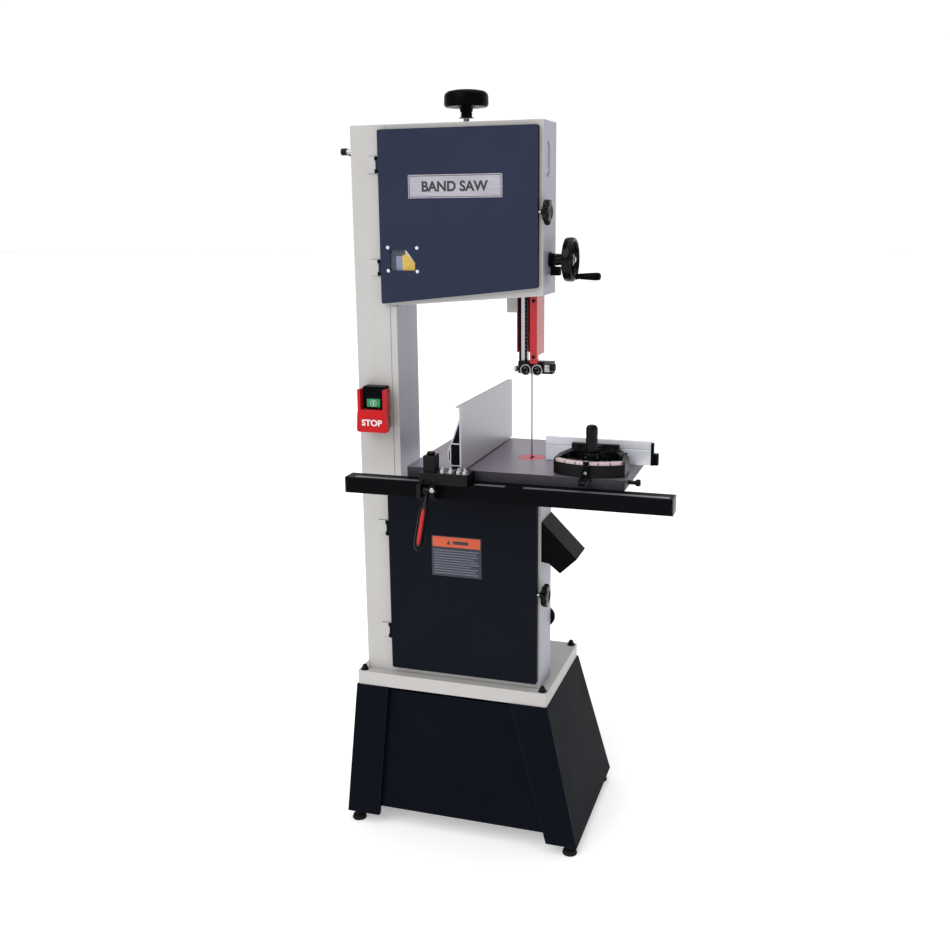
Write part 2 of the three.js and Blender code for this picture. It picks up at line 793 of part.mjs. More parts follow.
function guideBearing(name, side) {
  const ring = cut(
    bar("y", 0, 0, -8, 2, BEARING_R, 24),
    bar("y", 0, 0, -12, 6, 4.4, 16),
  );
  return piece(name, ring, steel, [side * BEARING_X, 0, BEARING_Z]);
}

function lowerGuides() {
  const body = join(
    block([-22, 20, LOWER_TOP + GAP], [20, 35, 980]),
    block([-22, 12, LOWER_TOP + 9], [20, 21, 980]),
    bar("y", -10.9, 968, -6, 13, 10, 16),
    bar("y", 10.9, 968, -6, 13, 10, 16),
  );
  return piece("lower_guide_block", body, steel);
}

// ---------------------------------------------------------------- guide post handwheel
const SPINDLE_DROP = 40;

function postGearbox() {
  const body = cut(
    join(
      bar("x", 0, 0, UPPER_RIGHT + GAP, 50, 18, 24),
      bar("x", 0, 0, 49, 60, 15, 24),
      block([50, -9, -38], [74, 9, -17]),
      block([50, -9, -30], [60, 9, -5]),
    ),
    bar("x", 0, 0, 40, 65, 6.4, 20),
  );
  return piece("post_gearbox", body, blackPlastic, [0, HAND_Y, HAND_Z]);
}

function handwheel() {
  const profile = [
    [6, 24],
    [6, 61],
    [14.5, 61],
    [13, 90],
    [20, 94],
    [42, 98],
    [44, 93],
    [50, 92],
    [53, 97],
    [53, 106],
    [49, 110],
    [43, 108],
    [40, 103],
    [18, 100],
    [14, 106],
    [0, 106],
  ];
  const wheel = turned([[0, 24], ...profile], 36).rotate([0, 90, 0]);
  const spindle = bar("x", 0, -SPINDLE_DROP, 100, 170, 3.5, 12);
  return piece("handwheel", join(wheel, spindle), blackPlastic, [0, HAND_Y, HAND_Z]);
}

function crankHandle() {
  const grip = cut(
    turned(
      [
        [0, 112],
        [7, 112],
        [8.5, 120],
        [8.5, 160],
        [9.5, 170],
        [6, 173],
        [0, 173],
      ],
      20,
    ).rotate([0, 90, 0]),
    bar("x", 0, 0, 105, 170.4, 3.9, 12),
  );
  return piece("crank_handle", grip, blackPlastic, [0, HAND_Y, HAND_Z - SPINDLE_DROP]);
}

// ---------------------------------------------------------------- table and what it carries
const TABLE = [-274, -180, 274, 220];
const TRUNNION_R = 80;

function tableBody() {
  const [z0, z1] = [TABLE_TOP - TABLE_THICK, TABLE_TOP];
  const plate = prism("z", rounded(rectangle(...TABLE), 6), z0, z1);
  const cuts = [
    bar("z", 0, 0, z0 - 5, z1 + 5, 30, 32),
    bar("z", 0, 0, z1 - 4, z1 + 5, 34, 32),
    block([0, -1.5, z0 - 5], [TABLE[2] + 5, 1.5, z1 + 5]), // blade slot to the right edge
    block([MITER_X - 9.5, TABLE[1] - 5, z1 - 9.5], [MITER_X + 9.5, TABLE[3] + 5, z1 + 5]),
    block([MITER_X - 12.5, TABLE[1] - 5, z1 - 9.5], [MITER_X + 12.5, TABLE[3] + 5, z1 - 6]),
  ];
  return piece("table", cut(plate, ...cuts), castIron);
}

function tableInsert() {
  const disc = bar("z", 0, 0, TABLE_TOP - 3.7, TABLE_TOP - 0.2, 33.6, 32);
  const slot = block([-4, -12, TABLE_TOP - 10], [40, 14, TABLE_TOP + 5]);
  const narrow = block([-4, -12, TABLE_TOP - 10], [5, 14, TABLE_TOP + 5]);
  const toEdge = block([0, -1.5, TABLE_TOP - 10], [40, 1.5, TABLE_TOP + 5]);
  return piece("table_insert", cut(disc, narrow, toEdge.intersect(slot)), redPlastic);
}

function trunnion() {
  const top = TABLE_TOP - TABLE_THICK - GAP;
  const arcs = [
    [-64, -48],
    [40, 56],
  ].map(([y0, y1]) =>
    cut(
      bar("y", 0, TABLE_TOP, y0, y1, TRUNNION_R, 48),
      bar("y", 0, TABLE_TOP, y0 - 5, y1 + 5, 58, 40),
      block([-100, y0 - 5, top], [100, y1 + 5, TABLE_TOP + 100]),
    ),
  );
  const plate = cut(
    block([-74, -64, top - 8], [74, 56, top]),
    bar("z", 0, 0, top - 20, top + 5, 36, 32),
  );
  return piece("table_trunnion", join(plate, ...arcs), castIron);
}

function cradle() {
  const base = cut(
    block([-60, -66, LOWER_TOP + GAP], [42, 58, LOWER_TOP + 8]),
    block([-26, -30, LOWER_TOP - 5], [26, 36, LOWER_TOP + 20]),
  );
  const saddles = [
    [-66, -46],
    [38, 58],
  ].map(([y0, y1]) => block([-60, y0, LOWER_TOP + 1], [42, y1, 984]));
  const arc = bar("y", 0, TABLE_TOP, -80, 80, TRUNNION_R + 0.5, 48);
  return piece("table_cradle", cut(join(base, ...saddles), arc), castIron);
}

const RAIL = { left: -418, right: 392, front: -230, back: -180.3, low: 975, high: 1015 };

function frontRail() {
  const outer = block([RAIL.left, RAIL.front, RAIL.low], [RAIL.right, RAIL.back, RAIL.high]);
  const inner = block(
    [RAIL.left - 5, RAIL.front + SHEET, RAIL.low + SHEET],
    [RAIL.right + 5, RAIL.back - SHEET, RAIL.high - SHEET],
  );
  return piece("front_rail", cut(outer, inner), blackPlastic);
}

const FENCE_X = -118; // the fence's cutting face
const FENCE_LOW = 1043;
const FENCE_HIGH = 1203;
const CARRIAGE_TOP = 1042.6;

// An extruded section: cutting face, top lip, slanted back wall, and chambers open at the ends.
function ripFence() {
  const at = (points) => points.map(([x, z]) => [FENCE_X + x, z]);
  const section = at([
    [0, FENCE_LOW],
    [0, FENCE_HIGH],
    [-13, FENCE_HIGH],
    [-13, FENCE_HIGH - 2.5],
    [-4, FENCE_HIGH - 5],
    [-4, 1174],
    [-26, 1113],
    [-29, 1107],
    [-35, 1092],
    [-35, 1070],
    [-31, 1065],
    [-29, 1067],
    [-32, 1072],
    [-32, 1091],
    [-29, 1097],
    [-29, FENCE_LOW + 3],
    [-34, FENCE_LOW + 3],
    [-34, FENCE_LOW],
    [-17, FENCE_LOW],
    [-17, FENCE_LOW + 3],
    [-26, FENCE_LOW + 3],
    [-26, 1056],
    [-4, 1056],
    [-4, FENCE_LOW + 3],
    [-8, FENCE_LOW + 3],
    [-8, FENCE_LOW],
  ]);
  const chambers = [
    at([
      [-4, 1164],
      [-22.5, 1113],
      [-4, 1113],
    ]),
    at(rectangle(-26, 1059, -4, 1110)),
  ];
  const body = cut(
    prism("y", section, -215, 228),
    ...chambers.map((outline) => prism("y", outline, -220, 233)),
  );
  return piece("rip_fence", body, aluminium);
}

const LEVER_X = -194;
const LEVER_Y = -250;
const LEVER_Z = 1000;

function fenceCarriage() {
  const saddle = block([-208, -246, RAIL.high + GAP], [-95, -183, CARRIAGE_TOP]);
  const tower = block([-208, -238, CARRIAGE_TOP - 5], [-180, -200, 1083]);
  const apron = block([-216, -246, 974], [-172, RAIL.front - GAP, CARRIAGE_TOP]);
  const ears = block([-216, -266, 984], [-172, -240, 1016]);
  const slotCut = block([LEVER_X - 12, -280, 960], [LEVER_X + 12, -240, 1030]);
  const pin = bar("x", LEVER_Y, LEVER_Z, -220, -168, 4, 12);
  const body = join(cut(join(saddle, tower, apron, ears), slotCut), pin);
  return piece("fence_carriage", body, blackPlastic);
}

// Hangs below the rail, tilted out from it.
function lockLever() {
  const tilt = Math.PI / 6.4;
  const arm = join(
    cut(bar("x", 0, 0, -9, 9, 9, 20), bar("x", 0, 0, -12, 12, 4.4, 12)),
    cut(
      join(
        block([-7, -5, -42], [7, 5, -2]),
        block([-13, -8, -136], [13, 7, -40]),
        bar("y", 0, -136, -8, 7, 13, 20),
      ),
      bar("x", 0, 0, -12, 12, 4.4, 12),
    ),
  );
  const body = arm.rotate([(-tilt * 180) / Math.PI, 0, 0]);
  return piece("fence_lock_lever", body, blackPlastic, [LEVER_X, LEVER_Y, LEVER_Z]);
}

const HEAD_Y = -40; // pivot of the miter head
const HEAD_LOW = TABLE_TOP + 1.5;
const HEAD_TOP = 1078;
const HEAD_R = 143;
const HEAD_SPREAD = 0.65; // half the scale's angle
const FENCE_FRONT = 20; // miter fence from the pivot
const HANDLE_OUT = 85;

function miterBar() {
  const body = join(
    block([MITER_X - 9.2, -232, TABLE_TOP - 9], [MITER_X + 9.2, 150, TABLE_TOP + 0.6]),
    bar("z", MITER_X, HEAD_Y, TABLE_TOP, HEAD_TOP - 12, 6, 16),
    block([MITER_X - 5, -230, TABLE_TOP], [MITER_X + 5, HEAD_Y - HEAD_R - 1, TABLE_TOP + 4]),
  );
  return piece("miter_bar", body, steel);
}

function miterHead() {
  const arc = (radius) =>
    Array.from({ length: 17 }, (_, i) => {
      const angle = -Math.PI / 2 - HEAD_SPREAD + (2 * HEAD_SPREAD * i) / 16;
      return [radius * Math.cos(angle), radius * Math.sin(angle)];
    });
  const side = HEAD_R * Math.sin(HEAD_SPREAD);
  const back = FENCE_FRONT - GAP;
  const outline = [[-68, back], [-side, -56], ...arc(HEAD_R), [side, -56], [52, back]];
  const well = [[-54, -12], [-side + 14, -62], ...arc(HEAD_R - 16), [side - 14, -62], [42, -12]];
  const body = join(
    cut(prism("z", outline, HEAD_LOW, HEAD_TOP), prism("z", well, HEAD_LOW + 9, HEAD_TOP + 5)),
    block([-70, 6, HEAD_LOW + 2], [48, back, 1091]),
    bar("z", 0, -HANDLE_OUT, HEAD_LOW + 2, HEAD_TOP, 17, 24),
    bar("z", 0, 0, HEAD_LOW + 2, HEAD_TOP, 14, 24),
    block([-4, -HANDLE_OUT, HEAD_LOW + 2], [4, 8, HEAD_TOP - 8]),
  );
  const holes = [
    bar("z", 0, 0, HEAD_LOW - 5, HEAD_TOP - 11, 6.4, 16),
    bar("z", 0, -HANDLE_OUT, HEAD_LOW + 8, HEAD_TOP + 10, 5.4, 16),
  ];
  return piece("miter_head", cut(body, ...holes), blackPlastic, [MITER_X, HEAD_Y, 0]);
}

function miterFence() {
  const [y0, low] = [HEAD_Y + FENCE_FRONT, TABLE_TOP + 1.5];
  const face = block([42, y0, low], [309, y0 + 10, 1101]);
  const groove = block([40, y0 - 1, 1078], [311, y0 + 3, 1082]);
  const stop = join(
    block([308, y0 - 2, low], [315, y0 + 10, 1098]),
    block([314, y0 - 6, low + 2], [327, y0 + 10, 1072]),
  );
  return piece("miter_fence", join(cut(face, groove), stop), aluminium);
}

function miterHandle() {
  const body = turned(
    [
      [0, HEAD_LOW + 10],
      [5, HEAD_LOW + 10],
      [5, HEAD_TOP + 1],
      [13, HEAD_TOP + 1],
      [15, HEAD_TOP + 8],
      [13.5, 1108],
      [15.5, 1142],
      [13, 1154],
      [6, 1158],
      [0, 1158],
    ],
    24,
  );
  return piece("miter_handle", body, blackPlastic, [MITER_X, HEAD_Y - HANDLE_OUT, 0]);
}

// ---------------------------------------------------------------- switch
const SWITCH_X = -391;
const PADDLE_Z = 1212;

function switchBox() {
  const box = join(
    block([SWITCH_X - 29.5, -88, 1110], [SWITCH_X + 29.5, FRONT - GAP, 1223]),
    block([SWITCH_X - 29.5, -100, 1165], [SWITCH_X + 29.5, FRONT - GAP, 1223]),
    bar("x", -92, PADDLE_Z, SWITCH_X - 34, SWITCH_X + 34, 3, 12),
  );
  const pocket = block([SWITCH_X - 20, -105, 1169], [SWITCH_X + 20, -90, 1193]);
  return piece("switch_box", cut(box, pocket), blackPlastic);
}

function startButton() {
  const body = block([SWITCH_X - 18.5, -105, 1170.5], [SWITCH_X + 18.5, -95, 1191.5]);
  return piece("start_button", body, greenPlastic);
}

function stopPaddle() {
  const front = prism(
    "y",
    rounded(
      [
        [-43, -105],
        [43, -105],
        [39.5, -47],
        [-39.5, -47],
      ],
      8,
    ),
    -26,
    -11,
  );
  const arms = [-1, 1].map((side) =>
    block(
      [side < 0 ? -38.5 : 31, -26, -60],
      [side < 0 ? -31 : 38.5, 5, 5],
    ),
  );
  const hollow = block([-31, -14, -97], [31, -5, -40]);
  const pinHole = bar("x", 0, 0, -50, 50, 3.4, 12);
  const clear = block([-30.4, -24, -44], [30.4, 20, 20]);
  const body = cut(join(front, ...arms), hollow, pinHole, clear);
  return piece("stop_paddle", body, redPlastic, [SWITCH_X, -92, PADDLE_Z]);
}

// ---------------------------------------------------------------- the saw
const stand = assembly(
  standSide("stand_left_side", LEG_LEFT, -1),
  standSide("stand_right_side", LEG_RIGHT, 1),
  standPanel("stand_front_panel", true),
  standPanel("stand_back_panel", false),
  footPiece("foot_front_left", -466, -122),
  footPiece("foot_front_right", 139, -122),
  footPiece("foot_back_left", -466, 280),
  footPiece("foot_back_right", 139, 280),
  basePlate(),
);

const frame = assembly(
  columnFront(),
  columnInner(),
  columnRear(),
  upperCasing(),
  lowerCasing(),
  dustChute(),
  upperDoor(),
  lowerDoor(),
);

const running = assembly(
  upperWheel(),
  lowerWheel(),
  motorPulley(),
  driveBelt(),
  blade(),
  motor(),
  wheelCarrier(),
  tensionKnob(),
  trackingKnob(),
  releaseLever(),
);

const guides = assembly(
  guidePost(),
  bladeGuard(),
  upperGuides(),
  guideBearing("guide_bearing_left", -1),
  guideBearing("guide_bearing_right", 1),
  lowerGuides(),
  postGearbox(),
  handwheel(),
  crankHandle(),
);

const tableGroup = assembly(
  tableBody(),
  tableInsert(),
  trunnion(),
  cradle(),
  frontRail(),
  ripFence(),
  fenceCarriage(),
  lockLever(),
  miterBar(),
  miterHead(),
  miterFence(),
  miterHandle(),
);

const controls = assembly(switchBox(), startButton(), stopPaddle());

// The part's origin is on the floor, below the middle of the whole saw.
const saw = assembly(stand, frame, running, guides, tableGroup, controls);
const span = new THREE.Box3().setFromObject(saw);
const middle = span.getCenter(new THREE.Vector3());
saw.position.set(-middle.x, -middle.y, 0);

const part = new THREE.Group();
part.add(saw);
export default part;
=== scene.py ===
"""The looks of a two-wheel band saw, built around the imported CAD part."""

import json
import math

import bmesh
import bpy
from mathutils import Matrix, Vector


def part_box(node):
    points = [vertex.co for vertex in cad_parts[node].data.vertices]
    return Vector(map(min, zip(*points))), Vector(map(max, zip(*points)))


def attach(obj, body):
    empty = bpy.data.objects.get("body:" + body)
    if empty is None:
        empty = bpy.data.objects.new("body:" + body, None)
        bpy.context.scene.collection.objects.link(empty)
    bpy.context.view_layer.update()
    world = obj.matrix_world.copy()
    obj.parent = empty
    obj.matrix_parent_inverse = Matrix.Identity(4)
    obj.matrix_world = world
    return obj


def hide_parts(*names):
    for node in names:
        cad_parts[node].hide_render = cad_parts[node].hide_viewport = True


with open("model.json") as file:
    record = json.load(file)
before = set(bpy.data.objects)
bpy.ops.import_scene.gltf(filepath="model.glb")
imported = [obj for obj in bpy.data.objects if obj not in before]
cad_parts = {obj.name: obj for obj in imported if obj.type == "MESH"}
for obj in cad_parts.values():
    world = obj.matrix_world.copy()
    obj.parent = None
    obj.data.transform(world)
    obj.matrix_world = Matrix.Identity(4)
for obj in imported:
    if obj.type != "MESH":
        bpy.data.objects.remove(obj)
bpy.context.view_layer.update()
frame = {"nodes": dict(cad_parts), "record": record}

MM = 0.001
blade_low, blade_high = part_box("blade_cutting_run")
# The saw's own zero is on the floor under the middle of the blade.
ORIGIN = Vector(((blade_low.x + blade_high.x) / 2, (blade_low.y + blade_high.y) / 2, 0))


def at(x, y, z):
    """A point given in millimetres from the saw's zero, in the row frame."""
    return ORIGIN + Vector((x, y, z)) * MM


def local(point):
    """A row-frame point in millimetres from the saw's zero."""
    return (Vector(point) - ORIGIN) / MM


def node_box(name):
    """The low and high corners of a CAD node, in millimetres from the saw's zero."""
    low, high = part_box(name)
    return local(low), local(high)


def middle(name):
    low, high = node_box(name)
    return (low + high) / 2


# ---- materials
def linear(r, g, b):
    """A linear colour from 0-255 screen values."""
    return tuple(
        c / 255 / 12.92 if c <= 10 else ((c / 255 + 0.055) / 1.055) ** 2.4 for c in (r, g, b)
    ) + (1.0,)


MIX_A, MIX_B, MIX_OUT = 6, 7, 2  # the colour sockets of a Mix node


def set_inputs(node, **values):
    for socket, value in values.items():
        node.inputs[socket.replace("_", " ")].default_value = value


def add_node(tree, kind, **values):
    """A shader node. values sets its inputs, with _ for each space in their names."""
    node = tree.nodes.new("ShaderNode" + kind)
    set_inputs(node, **values)
    return node


def finish(
    name, color, rough=0.5, metal=0.0, specular=0.5, mottle=0.08, mottle_scale=9.0, grain=0.25,
    grain_scale=600.0, stretch=(1, 1, 1), depth=0.0004, rough_spread=0.08, edge_wear_and_highlight=None,
    edge_radius=0.0012, coat=0.0, alpha=1.0,
):
    """A procedural surface: mottled colour, uneven gloss, grain in the bump, and paler rounded edges,
    which are wear, and on the end caps a painted highlight. Colours are 0-255 screen values, the edges'
    share and colour come as a pair, and the edge radius and depth are metres."""
    mat = bpy.data.materials.new(name)
    mat.use_nodes = True
    tree = mat.node_tree
    wire = tree.links.new
    shader = tree.nodes["Principled BSDF"]
    set_inputs(
        shader, Metallic=metal, Specular_IOR_Level=specular, Coat_Weight=coat,
        Coat_Roughness=0.12, Alpha=alpha,
    )

    coordinates = add_node(tree, "TexCoord").outputs["Object"]
    large = add_node(tree, "TexNoise", Scale=mottle_scale, Detail=4.0, Roughness=0.6)
    wire(coordinates, large.inputs["Vector"])
    mapping = add_node(tree, "Mapping", Scale=stretch)
    wire(coordinates, mapping.inputs["Vector"])
    fine = add_node(tree, "TexNoise", Scale=grain_scale, Detail=3.0)
    wire(mapping.outputs["Vector"], fine.inputs["Vector"])

    base = linear(*color)
    ramp = add_node(tree, "ValToRGB")
    dark, light = ramp.color_ramp.elements
    dark.position, light.position = 0.3, 0.7
    dark.color = tuple(c * (1 - mottle) for c in base[:3]) + (1,)
    light.color = tuple(min(1, c * (1 + mottle)) for c in base[:3]) + (1,)
    wire(large.outputs["Fac"], ramp.inputs["Fac"])
    colour = ramp.outputs["Color"]

    if metal or stretch != (1, 1, 1):
        streaks = add_node(tree, "Mix", Factor=0.35)
        streaks.data_type = "RGBA"
        streaks.blend_type = "OVERLAY"
        wire(colour, streaks.inputs[MIX_A])
        wire(fine.outputs["Fac"], streaks.inputs[MIX_B])
        colour = streaks.outputs[MIX_OUT]

    # Paler rounded edges: wear, and on the end caps a painted highlight.
    if edge_wear_and_highlight:
        share, edge_color = edge_wear_and_highlight
        corner = add_node(tree, "Bevel", Radius=edge_radius)
        corner.samples = 4
        flatness = add_node(tree, "VectorMath")
        flatness.operation = "DOT_PRODUCT"
        wire(corner.outputs["Normal"], flatness.inputs[0])
        wire(add_node(tree, "NewGeometry").outputs["Normal"], flatness.inputs[1])
        edge_share = add_node(tree, "MapRange", From_Min=0.985, From_Max=0.86, To_Max=share)
        wire(flatness.outputs["Value"], edge_share.inputs["Value"])
        edged = add_node(tree, "Mix")
        edged.data_type = "RGBA"
        edged.inputs[MIX_B].default_value = linear(*edge_color)
        wire(edge_share.outputs["Result"], edged.inputs["Factor"])
        wire(colour, edged.inputs[MIX_A])
        colour = edged.outputs[MIX_OUT]
    wire(colour, shader.inputs["Base Color"])

    gloss = add_node(
        tree, "MapRange", To_Min=max(0.03, rough - rough_spread), To_Max=min(1.0, rough + rough_spread),
    )
    wire(large.outputs["Fac"], gloss.inputs["Value"])
    wire(gloss.outputs["Result"], shader.inputs["Roughness"])

    bump = add_node(tree, "Bump", Strength=grain, Distance=depth)
    wire(fine.outputs["Fac"], bump.inputs["Height"])
    wire(bump.outputs["Normal"], shader.inputs["Normal"])
    return mat


GREY_PAINT = finish(
    "grey_paint", (186, 184, 182), 0.42, specular=0.4, mottle=0.03, grain=0.22, grain_scale=420,
    edge_wear_and_highlight=(0.45, (225, 223, 220)),
)
BLUE_PAINT = finish(
    "slate_blue_paint", (43, 48, 69), 0.5, specular=0.07, mottle=0.06, grain=0.5, grain_scale=900,
    edge_wear_and_highlight=(0.5, (88, 92, 112)),
)
NAVY_PAINT = finish(
    "dark_navy_paint", (15, 18, 27), 0.5, specular=0.05, mottle=0.1, grain=0.5, grain_scale=900,
    edge_wear_and_highlight=(0.5, (44, 48, 62)),
)
STAND_PAINT = finish(
    "stand_paint", (14, 17, 24), 0.45, specular=0.015, mottle=0.12, grain=0.4, grain_scale=500,
    edge_wear_and_highlight=(0.55, (58, 64, 80)), edge_radius=0.0025,
)
RED_PAINT = finish(
    "gloss_red_paint", (176, 12, 22), 0.25, specular=0.4, mottle=0.05, grain=0.12, coat=0.12,
    edge_wear_and_highlight=(0.5, (226, 120, 130)),
)
BLACK_PAINT = finish(
    "satin_black_paint", (8, 9, 12), 0.4, specular=0.03, mottle=0.15, grain=0.4, grain_scale=700,
    edge_wear_and_highlight=(0.5, (70, 70, 76)),
)
BLACK_PLASTIC = finish(
    "moulded_black_plastic", (7, 7, 10), 0.3, specular=0.03, mottle=0.15, grain=0.25,
    grain_scale=1500, edge_wear_and_highlight=(0.35, (62, 62, 70)),
)
BLACK_GLOSS = finish(
    "gloss_black_plastic", (7, 7, 10), 0.16, specular=0.12, mottle=0.15, grain=0.15,
    grain_scale=1500, coat=0.02, edge_wear_and_highlight=(0.3, (60, 60, 68)),
)
# The rail end caps' pale edges are a painted highlight.
CAP_PLASTIC = finish(
    "end_cap_plastic", (9, 9, 12), 0.3, specular=0.12, mottle=0.15, grain=0.2,
    grain_scale=1500, edge_wear_and_highlight=(0.75, (150, 150, 158)),
)
# A darker, cooler copy of the grey paint: painted shade for right-facing faces and the plates set on them.
SHADED_SIDE_PAINT = finish(
    "shaded_side_grey_paint", (158, 157, 172), 0.4, specular=0.4, mottle=0.03, grain=0.22, grain_scale=420,
    edge_wear_and_highlight=(0.4, (214, 214, 222)),
)
TABLE_IRON = finish(
    "ground_iron", (135, 126, 140), 0.34, metal=0.55, specular=0.4, mottle=0.12, mottle_scale=5,
    grain=0.3, grain_scale=260, stretch=(0.35, 6, 1), rough_spread=0.1, edge_wear_and_highlight=(0.4, (176, 172, 180)),
)
TABLE_EDGE = finish(
    "painted_iron_edge", (54, 50, 58), 0.5, metal=0.2, specular=0.4, mottle=0.2, mottle_scale=18,
    grain=0.6, grain_scale=300, edge_wear_and_highlight=(0.5, (130, 126, 136)),
)
CAST_IRON = finish(
    "cast_iron", (88, 88, 92), 0.62, metal=0.35, specular=0.35, mottle=0.18, mottle_scale=22,
    grain=0.9, grain_scale=380, depth=0.0006, edge_wear_and_highlight=(0.5, (150, 150, 154)),
)
BLACK_CASTING = finish(
    "black_casting", (7, 7, 9), 0.38, specular=0.16, mottle=0.2, mottle_scale=30, grain=0.9,
    grain_scale=450, depth=0.0006, edge_wear_and_highlight=(0.5, (84, 84, 90)),
)
STEEL = finish(
    "machined_steel", (176, 176, 180), 0.28, metal=0.95, mottle=0.06, mottle_scale=30, grain=0.25,
    grain_scale=900, rough_spread=0.1,
)
BLADE_STEEL = finish(
    "blade_steel", (120, 120, 128), 0.3, metal=0.9, mottle=0.1, mottle_scale=14, grain=0.2,
    grain_scale=500, stretch=(1, 1, 0.05),
)


def extrusion(name, color, metal, stretch):
    return finish(
        name, color, 0.36, metal=metal, mottle=0.04, mottle_scale=4, grain=0.3, grain_scale=300,
        stretch=stretch, edge_wear_and_highlight=(0.4, (226, 226, 232)),
    )


ALUMINIUM = extrusion("extruded_aluminium", (172, 170, 178), 0.5, (6, 0.2, 6))
ALUMINIUM_X = extrusion("extruded_aluminium_x", (224, 226, 233), 0.25, (0.2, 6, 6))
BRUSHED = finish(
    "brushed_plate", (178, 176, 186), 0.33, metal=0.7, mottle=0.05, grain=0.4, grain_scale=500,
    stretch=(0.05, 1, 1), depth=0.0002,
)
RUBBER = finish(
    "black_rubber", (20, 20, 21), 0.8, specular=0.2, mottle=0.18, mottle_scale=40, grain=0.8,
    grain_scale=700,
)
RED_PLASTIC = finish(
    "red_plastic", (190, 10, 20), 0.3, specular=0.2, mottle=0.04, grain=0.15, grain_scale=1200,
    edge_wear_and_highlight=(0.4, (232, 120, 128)),
)
PINK_INSERT = finish(
    "insert_plastic", (196, 62, 92), 0.36, specular=0.4, mottle=0.08, mottle_scale=40, grain=0.3,
    grain_scale=900, edge_wear_and_highlight=(0.4, (228, 150, 170)),
)
GREEN_PLASTIC = finish(
    "green_plastic", (24, 138, 84), 0.3, specular=0.4, mottle=0.05, grain=0.15, grain_scale=1200,
)
TAPE_METAL = finish(
    "scale_tape", (128, 126, 132), 0.4, metal=0.4, mottle=0.06, grain=0.3, grain_scale=700,
)
SCALE_METAL = finish(
    "miter_scale_metal", (206, 184, 186), 0.4, metal=0.3, mottle=0.08, grain=0.3, grain_scale=700,
)


def printed(name, color, mottle, rough=0.5):
    return finish(name, color, rough, mottle=mottle, grain=0.2, grain_scale=1500)


PALE_BLUE_PRINT = printed("pale_blue_print", (138, 150, 184), 0.05)
WHITE_PRINT = printed("white_print", (226, 226, 228), 0.02)
DARK_PRINT = printed("dark_print", (40, 40, 44), 0.08)
GREY_PRINT = printed("grey_print", (92, 96, 112), 0.05)
ORANGE_PRINT = printed("orange_print", (208, 84, 46), 0.04)
YELLOW_PRINT = printed("yellow_print", (240, 196, 30), 0.04)
LABEL_FILM = printed("label_film", (34, 37, 49), 0.06, rough=0.4)
GLASS = finish(
    "clear_window", (120, 132, 150), 0.12, specular=0.3, mottle=0.05, grain=0.05, alpha=0.12,
)

# ---- mesh building
AXES = {"x": Vector((1, 0, 0)), "y": Vector((0, 1, 0)), "z": Vector((0, 0, 1))}


def turn_to(axis):
    """The rotation that takes Z to an axis, given by letter or as a vector."""
    direction = AXES[axis] if isinstance(axis, str) else Vector(axis).normalized()
    if direction.z < -0.9999:
        return Matrix.Rotation(math.pi, 3, "X")
    return Vector((0, 0, 1)).rotation_difference(direction).to_matrix()


WASHER = 1.4  # the thickness of every bolt's washer
LOBE_FROM = 0.72  # scallops begin at this share of a turned shape's widest radius


